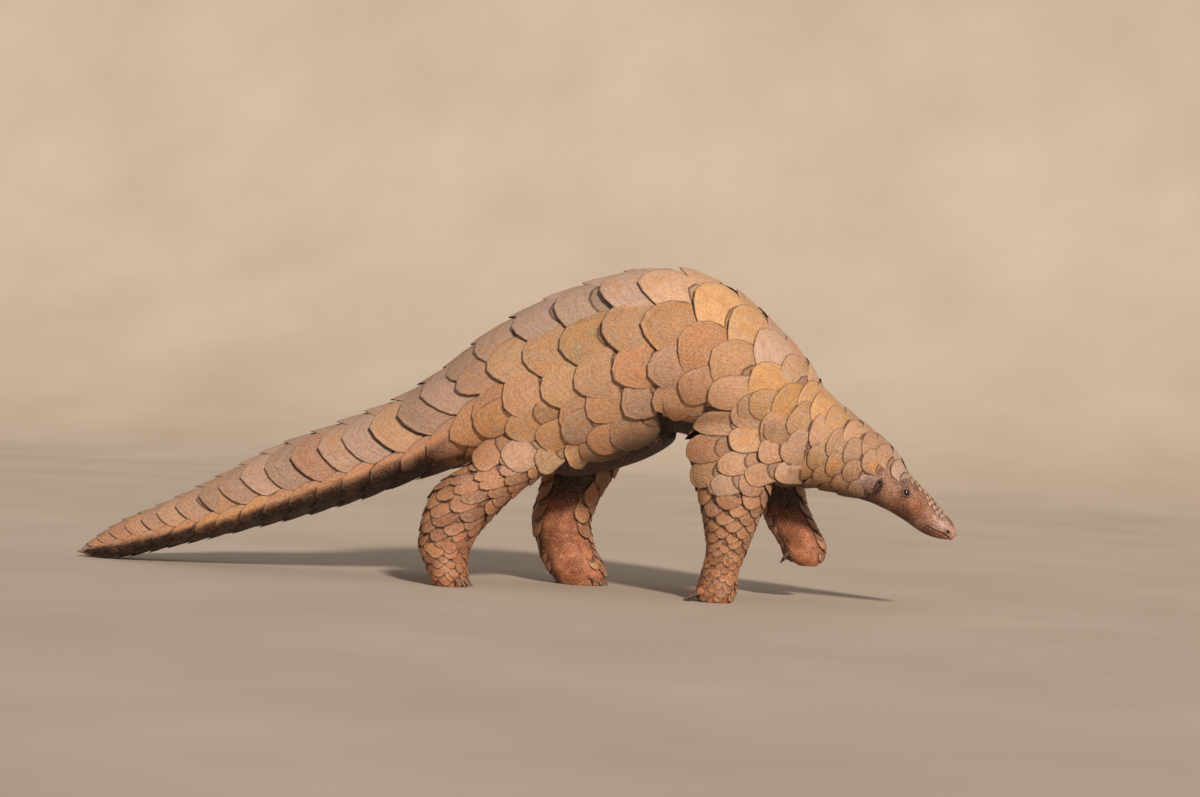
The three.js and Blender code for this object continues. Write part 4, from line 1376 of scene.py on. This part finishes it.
def make_floor():
    bm = bmesh.new()
    bmesh.ops.create_grid(bm, x_segments=1, y_segments=40, size=FLOOR_REACH)
    for vertex in bm.verts:
        over = vertex.co.y - FLOOR_FLAT
        if over > 0:
            turn = min(over / FLOOR_BEND, math.pi / 2)
            straight = max(over - FLOOR_BEND * math.pi / 2, 0)
            vertex.co.y = FLOOR_FLAT + FLOOR_BEND * math.sin(turn)
            vertex.co.z = FLOOR_BEND * (1 - math.cos(turn)) + straight
    pale = Finish("pale_floor")
    grain = pale.ranged(pale.noise(3.0, 4.0, 0.5), 0.3, 0.7)
    tone = pale.mix(grain, (0.42, 0.33, 0.25, 1), (0.48, 0.385, 0.30, 1))
    pale.feed(pale.shader, {"Base Color": tone, "Roughness": 0.9})
    floor = placed("floor", mesh_from(bm, "floor"))
    floor.data.shade_smooth()
    floor.data.materials.append(pale.material)


def set_light():
    """A low sun, in front and to the right, and a soft sky."""
    sun = bpy.data.lights.new("key", "SUN")
    sun.energy = 3.7
    sun.angle = math.radians(6)
    sun.color = (1.0, 0.94, 0.86)
    key = placed("key", sun)
    towards = Vector((0.472, -0.779, 0.5)).normalized()
    key.rotation_mode = "QUATERNION"
    key.rotation_quaternion = Vector((0, 0, 1)).rotation_difference(towards)
    world = bpy.data.worlds.new("studio")
    world.use_nodes = True
    sky = world.node_tree.nodes["Background"]
    sky.inputs["Color"].default_value = (0.95, 0.96, 1.0, 1)
    sky.inputs["Strength"].default_value = 0.34
    bpy.context.scene.world = world
    bpy.context.scene.view_settings.view_transform = "Standard"


set_camera()
make_floor()
set_light()
horn = horn_material()
hide = skin_material()

marks = face_marks()
skin = make_skin(hide, marks, mouth_line())
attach(skin, "root")
FLESH = ["tail_tip", "tail_middle", "tail_base", "torso_rear", "torso_front", "neck", "head"]
FLESH += ["foreleg_right", "foreleg_left", "hindleg_right", "hindleg_left"]
FLESH += ["forefoot_right", "forefoot_left", "hindfoot_right", "hindfoot_left"]
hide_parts(*FLESH)

long_rows = body_scales()
make_scales("scales_tail", [i for i in long_rows if i.place < TRUNK_FROM], 8, 3, horn)
make_scales("scales_trunk", [i for i in long_rows if TRUNK_FROM <= i.place < NECK_FROM], 8, 3, horn)
make_scales("scales_neck", [i for i in long_rows if i.place >= NECK_FROM], 8, 3, horn)
make_scales("scales_head", crown_scales(), 6, 2, horn)
sheets = [scale for side in SIDES for scale in sheet_scales("foreleg_" + side, SHOULDER)]
sheets += [scale for side in SIDES for scale in sheet_scales("hindleg_" + side, THIGH)]
make_scales("scales_shoulders_and_thighs", sheets, 8, 4, horn)
for name in legs:
    make_scales("scales_" + name, leg_scales(name), 6, 2, horn, on_leg=True)
make_claws(claw_material())
make_eyes(eye_material(), marks)
make_ears(hide)
